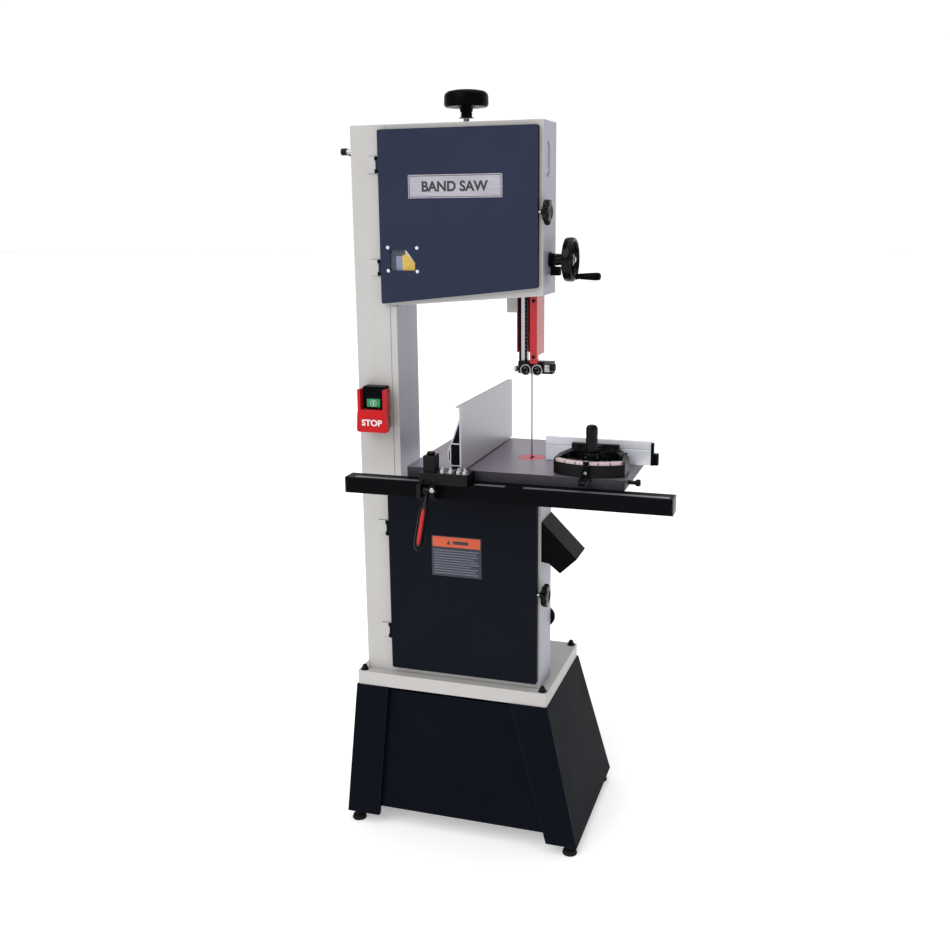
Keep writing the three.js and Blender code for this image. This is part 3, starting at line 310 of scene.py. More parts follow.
class Build:
    """Collects closed shells, in millimetres from the saw's zero, into one piece."""

    def __init__(self):
        self.bm = bmesh.new()
        self.m = 0

    def paint(self, faces):
        for f in faces:
            f.material_index = self.m
            f.smooth = True

    def face(self, verts):
        self.paint([self.bm.faces.new(verts)])

    def points(self, points):
        return [self.bm.verts.new(at(*p)) for p in points]

    def rings(self, rings, closed=False):
        """Skins a row of rings, which may end in single points or join up."""
        pairs = list(zip(rings, rings[1:]))
        if closed:
            pairs.append((rings[-1], rings[0]))
        for a, b in pairs:
            n = max(len(a), len(b))
            if n == 1:
                continue
            for i in range(n):
                j = (i + 1) % n
                if len(a) == 1:
                    self.face([a[0], b[j], b[i]])
                elif len(b) == 1:
                    self.face([a[i], a[j], b[0]])
                else:
                    self.face([a[i], a[j], b[j], b[i]])

    def lathe(self, centre, axis, profile, sides=64, lobes=None, closed=False):
        """Turns (radius, height) pairs about an axis.
        lobes is (count, depth, sharpness): scallops in the rim."""
        turn = turn_to(axis)
        centre = Vector(centre)
        widest = max(r for r, _ in profile)
        waist = widest * LOBE_FROM
        made = []
        for r, h in profile:
            if r < 1e-6:
                made.append(self.points([centre + turn @ Vector((0, 0, h))]))
                continue
            ring = []
            for i in range(sides):
                angle = 2 * math.pi * i / sides
                radius = r
                if lobes and r > waist:
                    count, depth, sharp = lobes
                    wave = (0.5 - 0.5 * math.cos(count * angle)) ** sharp
                    radius = r - depth * wave * (r - waist) / (widest - waist)
                spot = Vector((math.cos(angle) * radius, math.sin(angle) * radius, h))
                ring.append(centre + turn @ spot)
            made.append(self.points(ring))
        self.rings(made, closed)

    def disc(self, centre, axis, r, a, b, edge=0.6, sides=48):
        """A short solid disc with rounded rims, from a to b along its axis."""
        edge = min(edge, abs(b - a) / 2.2, r / 2.2)
        self.lathe(
            centre, axis,
            [(0, a), (r - edge, a), (r - edge * 0.3, a + edge * 0.3), (r, a + edge),
             (r, b - edge), (r - edge * 0.3, b - edge * 0.3), (r - edge, b), (0, b)],
            sides,
        )

    def ring(self, centre, axis, major, minor, sides=96, around=20):
        """A torus about an axis."""
        profile = [
            (major + minor * math.cos(2 * math.pi * i / around),
             minor * math.sin(2 * math.pi * i / around))
            for i in range(around)
        ]
        self.lathe(centre, axis, profile, sides, closed=True)

    def block(self, low, high, edge=0.0):
        """A box with rounded edges."""
        low, high = Vector(low), Vector(high)
        e = min(edge, min(high - low) / 2.5)
        made = bmesh.ops.create_cube(self.bm, size=1.0)
        centre, size = (low + high) / 2, high - low
        for v in made["verts"]:
            v.co = at(*(centre + Vector((v.co.x * size.x, v.co.y * size.y, v.co.z * size.z))))
        faces = {f for v in made["verts"] for f in v.link_faces}
        edges = {x for v in made["verts"] for x in v.link_edges}
        self.paint(faces)
        if e > 0:
            cut = bmesh.ops.bevel(
                self.bm, geom=list(edges), offset=e * MM, segments=2, profile=0.7,
                affect="EDGES", clamp_overlap=True,
            )
            self.paint(cut["faces"])

    def prism(self, axis, outline, a, b):
        """An outline pushed along an axis: (x, y) for z, (x, z) for y, (y, z) for x."""
        spot = {
            "z": lambda p, h: (p[0], p[1], h),
            "y": lambda p, h: (p[0], h, p[1]),
            "x": lambda p, h: (h, p[0], p[1]),
        }[axis]
        low = self.points([spot(p, a) for p in outline])
        high = self.points([spot(p, b) for p in outline])
        self.rings([low, high])
        self.face(low[::-1])
        self.face(high)

    def tube(self, path, radii, sides=16):
        """A round bar along a path, with a radius for each of its points."""
        path = [Vector(p) for p in path]
        side = None
        made = []
        for i, p in enumerate(path):
            ahead = (path[min(i + 1, len(path) - 1)] - path[max(i - 1, 0)]).normalized()
            if side is None:
                side = ahead.orthogonal().normalized()
            side = (side - ahead * side.dot(ahead)).normalized()
            up = ahead.cross(side)
            made.append(self.points([
                p + (side * math.cos(2 * math.pi * k / sides)
                     + up * math.sin(2 * math.pi * k / sides)) * radii[i]
                for k in range(sides)
            ]))
        self.rings([self.points([path[0]])] + made + [self.points([path[-1]])])

    def hex_bolt(self, centre, axis, across, height):
        """A hexagon head with a bevelled top, on a washer."""
        turn = turn_to(axis)
        centre = Vector(centre)
        self.disc(centre, axis, across * 0.72, 0, WASHER, 0.4, 32)
        corner, crown, top = across * 0.575, across * 0.46, WASHER + height
        sixths = [k * math.pi / 3 for k in range(6)]
        made = [self.points([centre + turn @ Vector((0, 0, WASHER))])]
        for r, h in ((corner, WASHER), (corner, WASHER + height * 0.8), (crown, top)):
            made.append(self.points([
                centre + turn @ Vector((math.cos(a) * r, math.sin(a) * r, h)) for a in sixths
            ]))
        made.append(self.points([centre + turn @ Vector((0, 0, top))]))
        self.rings(made)

    def cap_screw(self, centre, axis, r, height):
        """A cap screw: a round head with a sunk middle."""
        self.lathe(
            centre, axis,
            [(0, 0), (r, 0), (r, height - 0.5), (r - 0.5, height), (r * 0.52, height),
             (r * 0.5, height - r * 0.7), (0, height - r * 0.75)],
            24,
        )

    def dome_nut(self, centre, r, height):
        """A capped nut that stands up: hexagon below, dome above."""
        self.hex_bolt(centre, "z", r * 1.75, height * 0.45)
        z = centre[2] + WASHER + height * 0.4
        self.lathe(
            (centre[0], centre[1], z), "z",
            [(0, 0), (r * 0.8, 0)] + [
                (r * 0.8 * math.cos(a), height * 0.55 * math.sin(a))
                for a in (0.3, 0.6, 0.9, 1.2, 1.4)
            ] + [(0, height * 0.55)],
            32,
        )

    def mesh(self, name):
        """The finished mesh, with its faces turned outward. Ends the build."""
        bmesh.ops.recalc_face_normals(self.bm, faces=self.bm.faces)
        made = bpy.data.meshes.new(name)
        self.bm.to_mesh(made)
        self.bm.free()
        return made

    def piece(self, name, body, materials, replaces=(), sharp=32.0):
        return place(name, self.mesh(name), body, materials, replaces, sharp=sharp)


def add_object(name, data):
    obj = bpy.data.objects.new(name, data)
    bpy.context.scene.collection.objects.link(obj)
    return obj


def place(name, mesh, body, materials, replaces=(), bevel=0.0, sharp=32.0):
    """Makes a mesh a piece: its materials, edges, body and the CAD nodes it stands for."""
    obj = add_object(name, mesh)
    for m in materials if isinstance(materials, (list, tuple)) else [materials]:
        mesh.materials.append(m)
    mesh.set_sharp_from_angle(angle=math.radians(sharp))
    if bevel:
        edge = obj.modifiers.new("edges", "BEVEL")
        edge.width = bevel * MM
        edge.segments = 2
        edge.limit_method = "ANGLE"
        edge.angle_limit = math.radians(36)
        edge.harden_normals = True
        edge.use_clamp_overlap = True
    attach(obj, body)
    if replaces:
        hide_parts(*replaces)
    return obj


bodies = frame["record"]["behaviour"]["bodies"]
BODY_OF = {node: body for body, nodes in bodies.items() for node in nodes}


def dress(node, material, bevel=0.8, extra=None, pick=None):
    """A copy of a CAD node with its flat faces merged and its edges rounded.
    pick says which faces, by their middle in millimetres, take the extra material."""
    bm = bmesh.new()
    bm.from_mesh(frame["nodes"][node].data)
    bmesh.ops.remove_doubles(bm, verts=bm.verts, dist=2e-6)
    bmesh.ops.dissolve_limit(
        bm, angle_limit=math.radians(0.6), verts=bm.verts, edges=bm.edges,
        delimit={"NORMAL"},
    )
    for f in bm.faces:
        f.smooth = True
        f.material_index = 1 if pick and pick(local(f.calc_center_median()), f.normal) else 0
    mesh = bpy.data.meshes.new(node + "_skin")
    bm.to_mesh(mesh)
    bm.free()
    return place(
        node + "_skin", mesh, BODY_OF[node], [material] + ([extra] if extra else []),
        (node,), bevel,
    )


def dress_all(material, slot, **bevels):
    """Dresses several nodes alike. bevels gives each node's edge in millimetres."""
    for node, bevel in bevels.items():
        dress(node, material, bevel)


# ---- casings, column, stand
HINGE_HEIGHTS = (1768, 1520, 842, 553)
HINGE_REACH = 22  # half a hinge's height, with a little to spare
HINGE_FRONT = -66.5  # hinges stand out past this plane
HINGE_PIN_LEFT, HINGE_PIN_RIGHT = -380, -366
OUT_FRONT = (0, -1, 0)


def hinge_pin(p, n):
    beside_pin = HINGE_PIN_LEFT < p.x < HINGE_PIN_RIGHT
    return p.y < HINGE_FRONT and beside_pin and any(abs(p.z - z) < HINGE_REACH for z in HINGE_HEIGHTS)


# Faces that look right, which take the grey paint's darker copy as painted shade.
def shaded_right_faces(p, n):
    return n.x > 0.7


# The doors' side faces, painted black as a shadow in the gap around each door.
def door_shadow_gap_faces(p, n):
    return n.y > -0.5


dress("column_front_channel", GREY_PAINT, 0.9, BLACK_PAINT, hinge_pin)
# The right-facing faces of the column and casings take painted shade.
for name in ("column_inner_channel", "column_rear_channel", "upper_casing", "lower_casing"):
    dress(name, GREY_PAINT, 1.1, SHADED_SIDE_PAINT, shaded_right_faces)
dress("base_plate", GREY_PAINT, 2.2)
dress_all(STAND_PAINT, "stand_paint", stand_left_side=1.6, stand_right_side=1.6)
dress_all(STAND_PAINT, "stand_paint", stand_front_panel=1.2, stand_back_panel=1.2)
for name in ("foot_front_left", "foot_front_right", "foot_back_left", "foot_back_right"):
    dress(name, RUBBER, 0.6)
dress_all(BLACK_PLASTIC, "black_plastic", dust_chute=2.4, switch_box=3.0)
dress("post_gearbox", BLACK_PAINT, 1.0)
dress_all(CAST_IRON, "cast_iron", table_cradle=1.0, lower_guide_block=0.8)

NUT_INSET, NUT_R, NUT_HEIGHT = 15, 9, 15
plate_low, plate_high = node_box("base_plate")
nuts = Build()
for x in (plate_low.x + NUT_INSET, plate_high.x - NUT_INSET):
    for y in (plate_low.y + NUT_INSET, plate_high.y - NUT_INSET):
        nuts.dome_nut((x, y, plate_high.z), NUT_R, NUT_HEIGHT)
nuts.piece("base_plate_nuts", "frame", BLACK_GLOSS)

# Tension scale on the upper casing's right side: a slot, its marks and its pointer
side_x = node_box("upper_casing")[1].x
SLOT_Y, SLOT_LOW, SLOT_HIGH, MARK_PITCH = -22, 1748, 1812, 6.5
side = Build()
side.block((side_x, SLOT_Y - 5, SLOT_LOW), (side_x + 0.5, SLOT_Y + 5, SLOT_HIGH), 0.2)
side.m = 1
side.block((side_x, SLOT_Y - 1.6, SLOT_LOW + 4), (side_x + 0.8, SLOT_Y + 1.6, SLOT_HIGH - 4), 0.2)
for k in range(9):
    z = SLOT_LOW + 6 + k * MARK_PITCH
    long = 12 if k % 4 == 0 else 9
    side.block((side_x, SLOT_Y - long, z), (side_x + 0.7, SLOT_Y - 6, z + 0.9))
side.m = 2
side.block((side_x, SLOT_Y - 9, SLOT_HIGH - 4), (side_x + 3, SLOT_Y + 9, SLOT_HIGH + 1), 0.6)
side.hex_bolt((side_x, SLOT_Y - 9, SLOT_LOW - 10), "x", 7, 3)
# The scale's plate takes the darker grey, painted shade like the casing side it sits on.
side.piece("tension_scale", "frame", [SHADED_SIDE_PAINT, DARK_PRINT, STEEL])

# Plain label beside the post gearbox: a frame and a few bars
LABEL_BACK, LABEL_FRONT, LABEL_LOW, LABEL_HIGH = -2, -58, 1474, 1563
BORDER_LOW, BORDER_HIGH, BORDER = 1479, 1557, 0.9
label = Build()
label.block((side_x, LABEL_FRONT, LABEL_LOW), (side_x + 0.7, LABEL_BACK, LABEL_HIGH), 0.3)
label.m = 1
for z in (BORDER_LOW, BORDER_HIGH):
    label.block((side_x, -53, z), (side_x + 1.0, -7, z + BORDER))
for y in (-53, -7.9):
    label.block((side_x, y, BORDER_LOW), (side_x + 1.0, y + BORDER, BORDER_HIGH + 1))
for k in range(5):
    z = BORDER_LOW + 7 + k * 5
    label.block((side_x, -48, z), (side_x + 1.0, -14 - (k % 2) * 9, z + 2))
# The label's plate takes the darker grey, painted shade like the casing side it sits on.
label.piece("gearbox_label", "frame", [SHADED_SIDE_PAINT, GREY_PRINT])

# Screws down the column's left side and its back
SCREW_HEIGHTS = (560, 760, 1010, 1260, 1500, 1740)
SCREW_R, SCREW_HEAD = 5, 4
column_low, column_high = node_box("column_rear_channel")
screws = Build()
for z in SCREW_HEIGHTS:
    screws.cap_screw((column_low.x, 30, z), (-1, 0, 0), SCREW_R, SCREW_HEAD)
    screws.cap_screw((column_low.x + 30, column_high.y, z + 20), "y", SCREW_R, SCREW_HEAD)
screws.piece("column_screws", "frame", BLACK_GLOSS)


def bolt_circle(build, x, y, z, radius, height):
    """Four bolts on the diagonals about a point, facing back."""
    for k in range(4):
        a = math.pi / 4 + k * math.pi / 2
        build.hex_bolt((x + radius * math.cos(a), y, z + radius * math.sin(a)), "y", 9, height)


# Cap over the lower wheel's bearing, behind the lower casing
CAP_R, CAP_BOLT_R, CAP_THICK = 30, 23, 4
lower_back = node_box("lower_casing")[1].y
wheel_mid = middle("lower_wheel")
cover = Build()
cover.disc((wheel_mid.x, lower_back, wheel_mid.z), "y", CAP_R, 0, CAP_THICK, 1.2)
cover.m = 1
bolt_circle(cover, wheel_mid.x, lower_back + CAP_THICK, wheel_mid.z, CAP_BOLT_R, 5)
cover.piece("lower_bearing_cap", "frame", [GREY_PAINT, STEEL])

PORT_X, PORT_Z = 24, 594
chute_back = node_box("dust_chute")[1].y
port = Build()
port.disc((PORT_X, chute_back, PORT_Z), "y", 29, 0.5, 14, 3)
port.disc((PORT_X, chute_back + 14, PORT_Z), "y", 12, 0, 4, 1.5)
port.piece("clean_out_knob", "frame", BLACK_PLASTIC)

# ---- motor
MOTOR_R, FLANGE_BOLT_R = 74, 68
motor_low, motor_high = node_box("motor")
axis_x, axis_z = (motor_low.x + motor_high.x) / 2, motor_low.z + MOTOR_R
my = motor_low.y
motor = Build()
motor.disc((axis_x, my, axis_z), "y", MOTOR_R, 0, 9, 2, 96)
motor.disc((axis_x, my + 9, axis_z), "y", 62, 0, 12, 2, 96)
motor.lathe(
    (axis_x, my + 20, axis_z), "y",
    [(0, 0), (60, 0), (65.5, 3), (65.5, 148), (60, 151), (0, 151)],
    240, lobes=(40, 7, 0.7),
)
motor.disc((axis_x, my + 171, axis_z), "y", 62, 0, 6, 2, 96)
motor.lathe(
    (axis_x, my + 176, axis_z), "y",
    [(0, 0), (66, 0), (67.5, 2), (67.5, 18), (61, 27), (54, 28.5), (52, 26), (48, 26), (46, 28.5),
     (40, 28.5), (38, 26), (34, 26), (32, 28.5), (26, 28.5), (24, 26), (20, 26), (18, 28.5), (0, 28.5)],
    96,
)
motor.block((axis_x - 34, my + 40, axis_z + 58), (axis_x + 34, my + 130, axis_z + 84), 3)
motor.block((axis_x - 36, my + 38, axis_z + 84), (axis_x + 36, my + 132, axis_z + 91.5), 2.5)
motor.m = 1
for x in (-30, 30):
    for y in (44, 126):
        motor.cap_screw((axis_x + x, my + y, axis_z + 89.5), "z", 3.6, 2.4)
bolt_circle(motor, axis_x, my + 9, axis_z, FLANGE_BOLT_R, 6)
motor.piece("motor_body", "frame", [BLACK_PAINT, STEEL], ("motor",))

# ---- doors
# Black on the doors' side faces is a painted shadow in the gaps around the doors.
dress("upper_door", BLUE_PAINT, 0.9, BLACK_PAINT, door_shadow_gap_faces)
dress("lower_door", NAVY_PAINT, 0.9, BLACK_PAINT, door_shadow_gap_faces)
dress("window_glass", GLASS, 0.3)
dress("nameplate", BRUSHED, 0.4)


def lettering(name, words, centre, width, height, depth, body, material):
    """Raised letters on a face that looks along -Y, stretched to a width and height in millimetres."""
    letter_half = 0.01  # of the font's own depth
    curve = bpy.data.curves.new(name + "_curve", "FONT")
    curve.body = words
    curve.size = 1.0
    curve.extrude = letter_half
    curve.offset = 0.03
    curve.resolution_u = 6
    holder = add_object(name + "_holder", curve)
    bpy.context.view_layer.update()
    mesh = bpy.data.meshes.new_from_object(holder.evaluated_get(bpy.context.evaluated_depsgraph_get()))
    bpy.data.objects.remove(holder)
    xs = [v.co.x for v in mesh.vertices]
    ys = [v.co.y for v in mesh.vertices]
    mid_x, mid_y = (min(xs) + max(xs)) / 2, (min(ys) + max(ys)) / 2
    sx, sy = width / (max(xs) - min(xs)), height / (max(ys) - min(ys))
    for v in mesh.vertices:
        x, y, z = v.co
        v.co = at(
            centre[0] + (x - mid_x) * sx,
            centre[1] - (z + letter_half) / (2 * letter_half) * depth,
            centre[2] + (y - mid_y) * sy,
        )
    mesh.materials.clear()
    return place(name, mesh, body, material)


# A printed line just inside the nameplate's edge
LINE, LINE_RISE, LINE_X, LINE_Z = 1.4, 0.5, 2.5, 2.2
name_low, name_high = node_box("nameplate")
line_front = name_low.y - LINE_RISE
border = Build()
for z in (name_low.z + LINE_Z, name_high.z - LINE_Z - LINE):
    border.block((name_low.x + LINE_X, line_front, z), (name_high.x - LINE_X, name_low.y, z + LINE))
for x in (name_low.x + LINE_X, name_high.x - LINE_X - LINE):
    border.block((x, line_front, name_low.z + LINE_Z), (x + LINE, name_low.y, name_high.z - LINE_Z))
border.piece("nameplate_border", "upper_door", DARK_PRINT)
name_mid = (name_low + name_high) / 2
lettering(
    "nameplate_letters", "BAND SAW", (name_mid.x, name_low.y, name_mid.z), 168, 25, 0.5,
    "upper_door", DARK_PRINT,
)

door_front = node_box("upper_door")[0].y
window = Build()
for x, z in ((-347, 1570), (-270, 1569), (-347, 1513.5), (-270, 1512)):
    window.lathe(
        (x, door_front, z), OUT_FRONT,
        [(0, 0), (4.4, 0), (4.4, 0.7), (3.6, 2.0), (1.8, 2.7), (0, 2.9)], 24,
    )
window.piece("window_screws", "upper_door", WHITE_PRINT)

# Behind the glass: a dark card with a pale, a yellow and a white patch
CARD_LEFT, CARD_RIGHT, CARD_LOW, CARD_HIGH = -345, -270, 1508, 1570
PATCH_LOW, PATCH_RIGHT = 1514, -276
glass_back = node_box("window_glass")[1].y
inside = Build()
inside.block((CARD_LEFT, glass_back + 1.0, CARD_LOW), (CARD_RIGHT, glass_back + 2.0, CARD_HIGH), 0.3)
PATCHES = (
    (0.2, [(-327, PATCH_LOW), (-311, PATCH_LOW), (-311, 1549), (-327, 1549)]),
    (0.2, [(-311, PATCH_LOW), (PATCH_RIGHT, PATCH_LOW), (PATCH_RIGHT, 1532), (-300, 1556), (-311, 1550)]),
    (0.1, [(PATCH_RIGHT, 1531), (PATCH_RIGHT, 1537), (-297, 1563), (-303, 1563), (-303, 1557)]),
)
for gap, outline in PATCHES:
    inside.m += 1
    inside.prism("y", outline, glass_back + gap, glass_back + gap + 0.7)
inside.piece(
    "window_sticker", "upper_door",
    [DARK_PRINT, PALE_BLUE_PRINT, YELLOW_PRINT, WHITE_PRINT],
)

# A plain stand-in for the label on the lower door: an orange head over grey bars
lower_front = node_box("lower_door")[0].y
sticker = Build()
sticker.block((-247, lower_front - 0.3, 727), (-111, lower_front, 836), 0.1)
sticker.m = 1
sticker.block((-244, lower_front - 0.55, 807), (-114, lower_front - 0.3, 834), 0.1)
sticker.m = 2
BAR_LEFT, BAR_TOP, BAR_PITCH, BAR = -242, 799, 6.9, 3.4
BAR_ENDS = (-118, -124, -119, -131, -122, -117, -140, -121, -126, -119)
for k, end in enumerate(BAR_ENDS):
    z = BAR_TOP - k * BAR_PITCH
    sticker.block((BAR_LEFT, lower_front - 0.5, z - BAR), (end, lower_front - 0.3, z))
sticker.m = 3
sticker.prism("y", [(-206, 814), (-194, 814), (-200, 825)], lower_front - 0.8, lower_front - 0.5)
sticker.block((-188, lower_front - 0.8, 815), (-146, lower_front - 0.5, 824))
sticker.piece(
    "door_label", "lower_door", [LABEL_FILM, ORANGE_PRINT, GREY_PRINT, DARK_PRINT],
)

for which in ("upper", "lower"):
    node = which + "_latch_knob"
    mid = middle(node)
    axle = (0, mid.y, mid.z)
    knob = Build()
    knob.lathe(
        axle, "x",
        [(0, 49.5), (18, 49.5), (26.5, 50.6), (30.5, 53.5), (30.5, 61), (28.4, 64.6), (22, 66.4),
         (15, 66.6), (13.5, 65), (9, 64.6), (7.5, 65.6), (0, 66)],
        112, lobes=(7, 5.6, 1.6),
    )
    knob.lathe(axle, "x", [(0, 42), (5.5, 42), (7, 44), (7, 49), (9, 50), (0, 50)], 32)
    knob.m = 1
    knob.lathe(axle, "x", [(0, 22.3), (4, 22.3), (4, 43), (0, 43)], 24)
    knob.piece(
        node + "_turned", which + "_latch", [BLACK_GLOSS, STEEL], (node,)
    )

# ---- wheels and drive
dress_all(CAST_IRON, "cast_iron", upper_wheel=0.8, lower_wheel=0.8)
dress_all(RUBBER, "rubber", upper_tyre=0.5, lower_tyre=0.5)
dress_all(STEEL, "steel", drive_pulley=0.6, motor_pulley=0.6)
dress("drive_belt", RUBBER, 0.4)
dress("blade_back_loop", BLADE_STEEL, 0.0)
dress_all(CAST_IRON, "cast_iron", wheel_slide_block=0.8, wheel_axle_bracket=0.8)
dress("tracking_knob", BLACK_GLOSS, 1.6)

LEVER_KNOB_FROM = -498  # the release lever's black end is left of this


def lever_end(p, n):
    return p.x < LEVER_KNOB_FROM


dress("release_lever", STEEL, 0.8, BLACK_GLOSS, lever_end)

# The running blade with its teeth, which point down
TOOTH_PITCH, GULLET = 6.35, 1.4
cut_low, cut_high = node_box("blade_cutting_run")
teeth = []
for k in range(int((cut_high.z - cut_low.z) / TOOTH_PITCH) - 1):
    z = cut_low.z + (k + 0.5) * TOOTH_PITCH
    teeth += [(cut_low.y, z), (cut_low.y + 2.6, z + 0.6), (cut_low.y + GULLET, z + TOOTH_PITCH * 0.6)]
blade = Build()
blade.prism(
    "x",
    [(cut_high.y, cut_low.z), (cut_low.y + GULLET, cut_low.z)] + teeth
    + [(cut_low.y + GULLET, cut_high.z), (cut_high.y, cut_high.z)],
    cut_low.x, cut_high.x,
)
blade.piece("blade_toothed_run", "frame", BLADE_STEEL, ("blade_cutting_run",), sharp=20)

# ---- tension knob
THREAD_R, CREST_R, THREAD_PITCH, THREAD_TOP = 7, 7.9, 3, 1879
knob_low, knob_high = node_box("tension_knob")
kx, ky = (knob_low.x + knob_high.x) / 2, (knob_low.y + knob_high.y) / 2
tension = Build()
tension.lathe(
    (kx, ky, 0), "z",
    [(0, 1892), (15, 1892), (17, 1902), (24, 1906), (44, 1903.5), (51, 1904), (54.4, 1908),
     (55, 1912), (54.2, 1930), (52.5, 1935), (46, 1940.5), (30, 1943.6), (0, 1944.8)],
    112,
)
tension.hex_bolt((kx, ky, THREAD_TOP - 1), "z", 26, 13)
tension.m = 1
thread = [(0, knob_low.z)]
for k in range(57):
    z = knob_low.z + k * THREAD_PITCH
    thread += [(THREAD_R, z), (CREST_R, z + 1.2), (CREST_R, z + 1.8), (THREAD_R, z + THREAD_PITCH)]
tension.lathe((kx, ky, 0), "z", thread + [(THREAD_R, THREAD_TOP), (0, THREAD_TOP)], 20)
tension.piece(
    "tension_knob_turned", "tension_knob", [BLACK_PLASTIC, STEEL], ("tension_knob",),
)

# ---- guide post
RACK_PITCH = 10.0
post_low, post_high = node_box("guide_post")
post = Build()


def post_strip(x0, x1, front, back, edge):
    """A strip of the post's full height, set back from its front by front."""
    post.block((x0, post_low.y + front, post_low.z), (x1, back, post_high.z), edge)


post_strip(post_low.x, post_high.x, 1.4, post_high.y, 1.2)
post_strip(post_low.x + 6.5, post_low.x + 15.5, 0.2, post_low.y + 1.5, 0.4)
post.m = 1
post_strip(post_low.x + 0.3, post_low.x + 6.3, 0.6, post_low.y + 1.5, 0.2)
post_strip(post_low.x + 15.7, post_high.x - 0.3, 0.6, post_low.y + 1.5, 0.2)
for k in range(int((post_high.z - post_low.z) / RACK_PITCH) - 1):
    z = post_low.z + RACK_PITCH * (k + 1)
    tooth_low = (post_low.x + 0.6, post_low.y - 0.9, z - 2.4)
    post.block(tooth_low, (post_low.x + 6.0, post_low.y + 0.8, z + 2.4), 0.5)
    post.m = 2
    dot = (post_low.x + 18.8, post_low.y + 0.6, z)
    post.lathe(dot, OUT_FRONT, [(0, 0), (1.5, 0), (1.2, 0.7), (0, 0.8)], 10)
    post.m = 1
post.piece("guide_post_rack", "guide_post", [STEEL, BLACK_PAINT, GREY_PRINT], ("guide_post",))

dress("blade_guard", RED_PAINT, 0.8)
dress("upper_guide_block", BLACK_CASTING, 0.7)
GUARD_SCREW_X, GUARD_SCREW_HEIGHTS = 11, (1302, 1440)
guard_front = node_box("blade_guard")[0].y
guard = Build()
for z in GUARD_SCREW_HEIGHTS:
    guard.cap_screw((GUARD_SCREW_X, guard_front, z), OUT_FRONT, 4.2, 2.6)
guard.piece("guard_screws", "guide_post", BLACK_GLOSS)

# Each bearing: outer race, inner race and the shield between them
OUTER_R, RIM_R, SHIELD_R, INNER_R, BORE_R = 14, 13.3, 11.6, 6.4, 4.4
for which in ("left", "right"):
    node = "guide_bearing_" + which
    mid = middle(node)
    centre = (mid.x, 0, mid.z)
    h0, h1 = (corner.y for corner in node_box(node))
    race = Build()
    race.lathe(
        centre, "y",
        [(SHIELD_R, h0), (RIM_R, h0), (OUTER_R, h0 + 0.7), (OUTER_R, h1 - 0.7), (RIM_R, h1), (SHIELD_R, h1)],
        64, closed=True,
    )
    race.lathe(
        centre, "y",
        [(BORE_R, h0 - 0.2), (INNER_R, h0 - 0.2), (INNER_R, h1 + 0.2), (BORE_R, h1 + 0.2)],
        48, closed=True,
    )
    race.m = 1
    race.lathe(
        centre, "y",
        [(INNER_R, h0 + 0.5), (9, h0 + 0.2), (SHIELD_R, h0 + 0.5), (SHIELD_R, h1 - 0.5), (INNER_R, h1 - 0.5)],
        48, closed=True,
    )
    race.piece(node + "_races", node, [STEEL, BLACK_PLASTIC], (node,))

# Axle screws, the side bolt, and the clamp and knob at the guide block's right end
bearing_front = node_box("guide_bearing_left")[0].y
arm_end = node_box("upper_guide_block")[1].x
fittings = Build()
for which in ("left", "right"):
    mid = middle("guide_bearing_" + which)
    fittings.cap_screw((mid.x, bearing_front - 1.6, mid.z), OUT_FRONT, 5.6, 3.4)
fittings.m = 1
fittings.hex_bolt((-39.5, 3, 1267), (-1, 0, 0), 12, 6)
fittings.block((arm_end - 21, -12, 1263), (arm_end - 8, 4, 1281), 1.2)
fittings.hex_bolt((arm_end - 14.5, -12, 1272), OUT_FRONT, 9, 4)
fittings.m = 0
fittings.lathe(
    (arm_end, 2, 1273), "x",
    [(0, -4), (8, -4), (9, -2.5), (9, 3), (7.5, 4.5), (0, 4.5)],
    64, lobes=(16, 0.9, 1),
)
fittings.piece("guide_fittings", "guide_post", [BLACK_GLOSS, STEEL])

# ---- handwheel and crank
wheel_axle = (0, middle("post_gearbox").y, middle("handwheel").z)
crank_mid = middle("crank_handle")
crank_axle = (0, wheel_axle[1], crank_mid.z)
hand = Build()
hand.lathe(
    wheel_axle, "x",
    [(0, 62), (13, 62), (14.6, 64), (13.6, 70), (13.2, 86), (17, 90), (24, 92.5), (38, 93.5), (41, 91.5),
     (43.5, 88.2), (48, 86.4), (51.4, 87.6), (53, 91), (53, 104), (51.8, 108.2), (48.6, 110),
     (45.4, 109.2), (43.6, 106), (42.2, 99.5), (38, 97.4), (22, 96.8), (17.2, 99), (15, 104.6),
     (12.6, 106.2), (0, 106.4)],
    112,
)
hand.m = 1
hand.lathe(wheel_axle, "x", [(0, 24), (6, 24), (6, 62.5), (0, 62.5)], 32)
hand.lathe(crank_axle, "x", [(0, 96), (3.6, 96), (3.6, 170), (0, 170)], 24)
hand.lathe(
    crank_axle, "x", [(3.6, 107.5), (7, 107.5), (8, 109), (8, 111), (3.6, 111.6)], 32, closed=True,
)
hand.hex_bolt((106, wheel_axle[1], wheel_axle[2]), "x", 13, 4)
hand.piece("handwheel_turned", "handwheel", [BLACK_GLOSS, STEEL], ("handwheel",))
crank = Build()
crank.lathe(
    (0, crank_mid.y, crank_mid.z), "x",
    [(4, 112.2), (7.6, 112.2), (8.2, 114.5), (6.6, 118.5), (7.2, 126), (8.8, 148), (9.5, 162),
     (9.1, 169), (6.6, 172.8), (4, 173)],
    64, closed=True,
)
crank.piece("crank_grip", "crank_handle", BLACK_PLASTIC, ("crank_handle",))

# ---- table
def not_top(p, n):
    return n.z < 0.5


dress("table", TABLE_IRON, 1.0, TABLE_EDGE, not_top)
dress("table_insert", PINK_INSERT, 0.4)
dress("table_trunnion", CAST_IRON, 1.0)
dress("front_rail", BLACK_PAINT, 1.6)

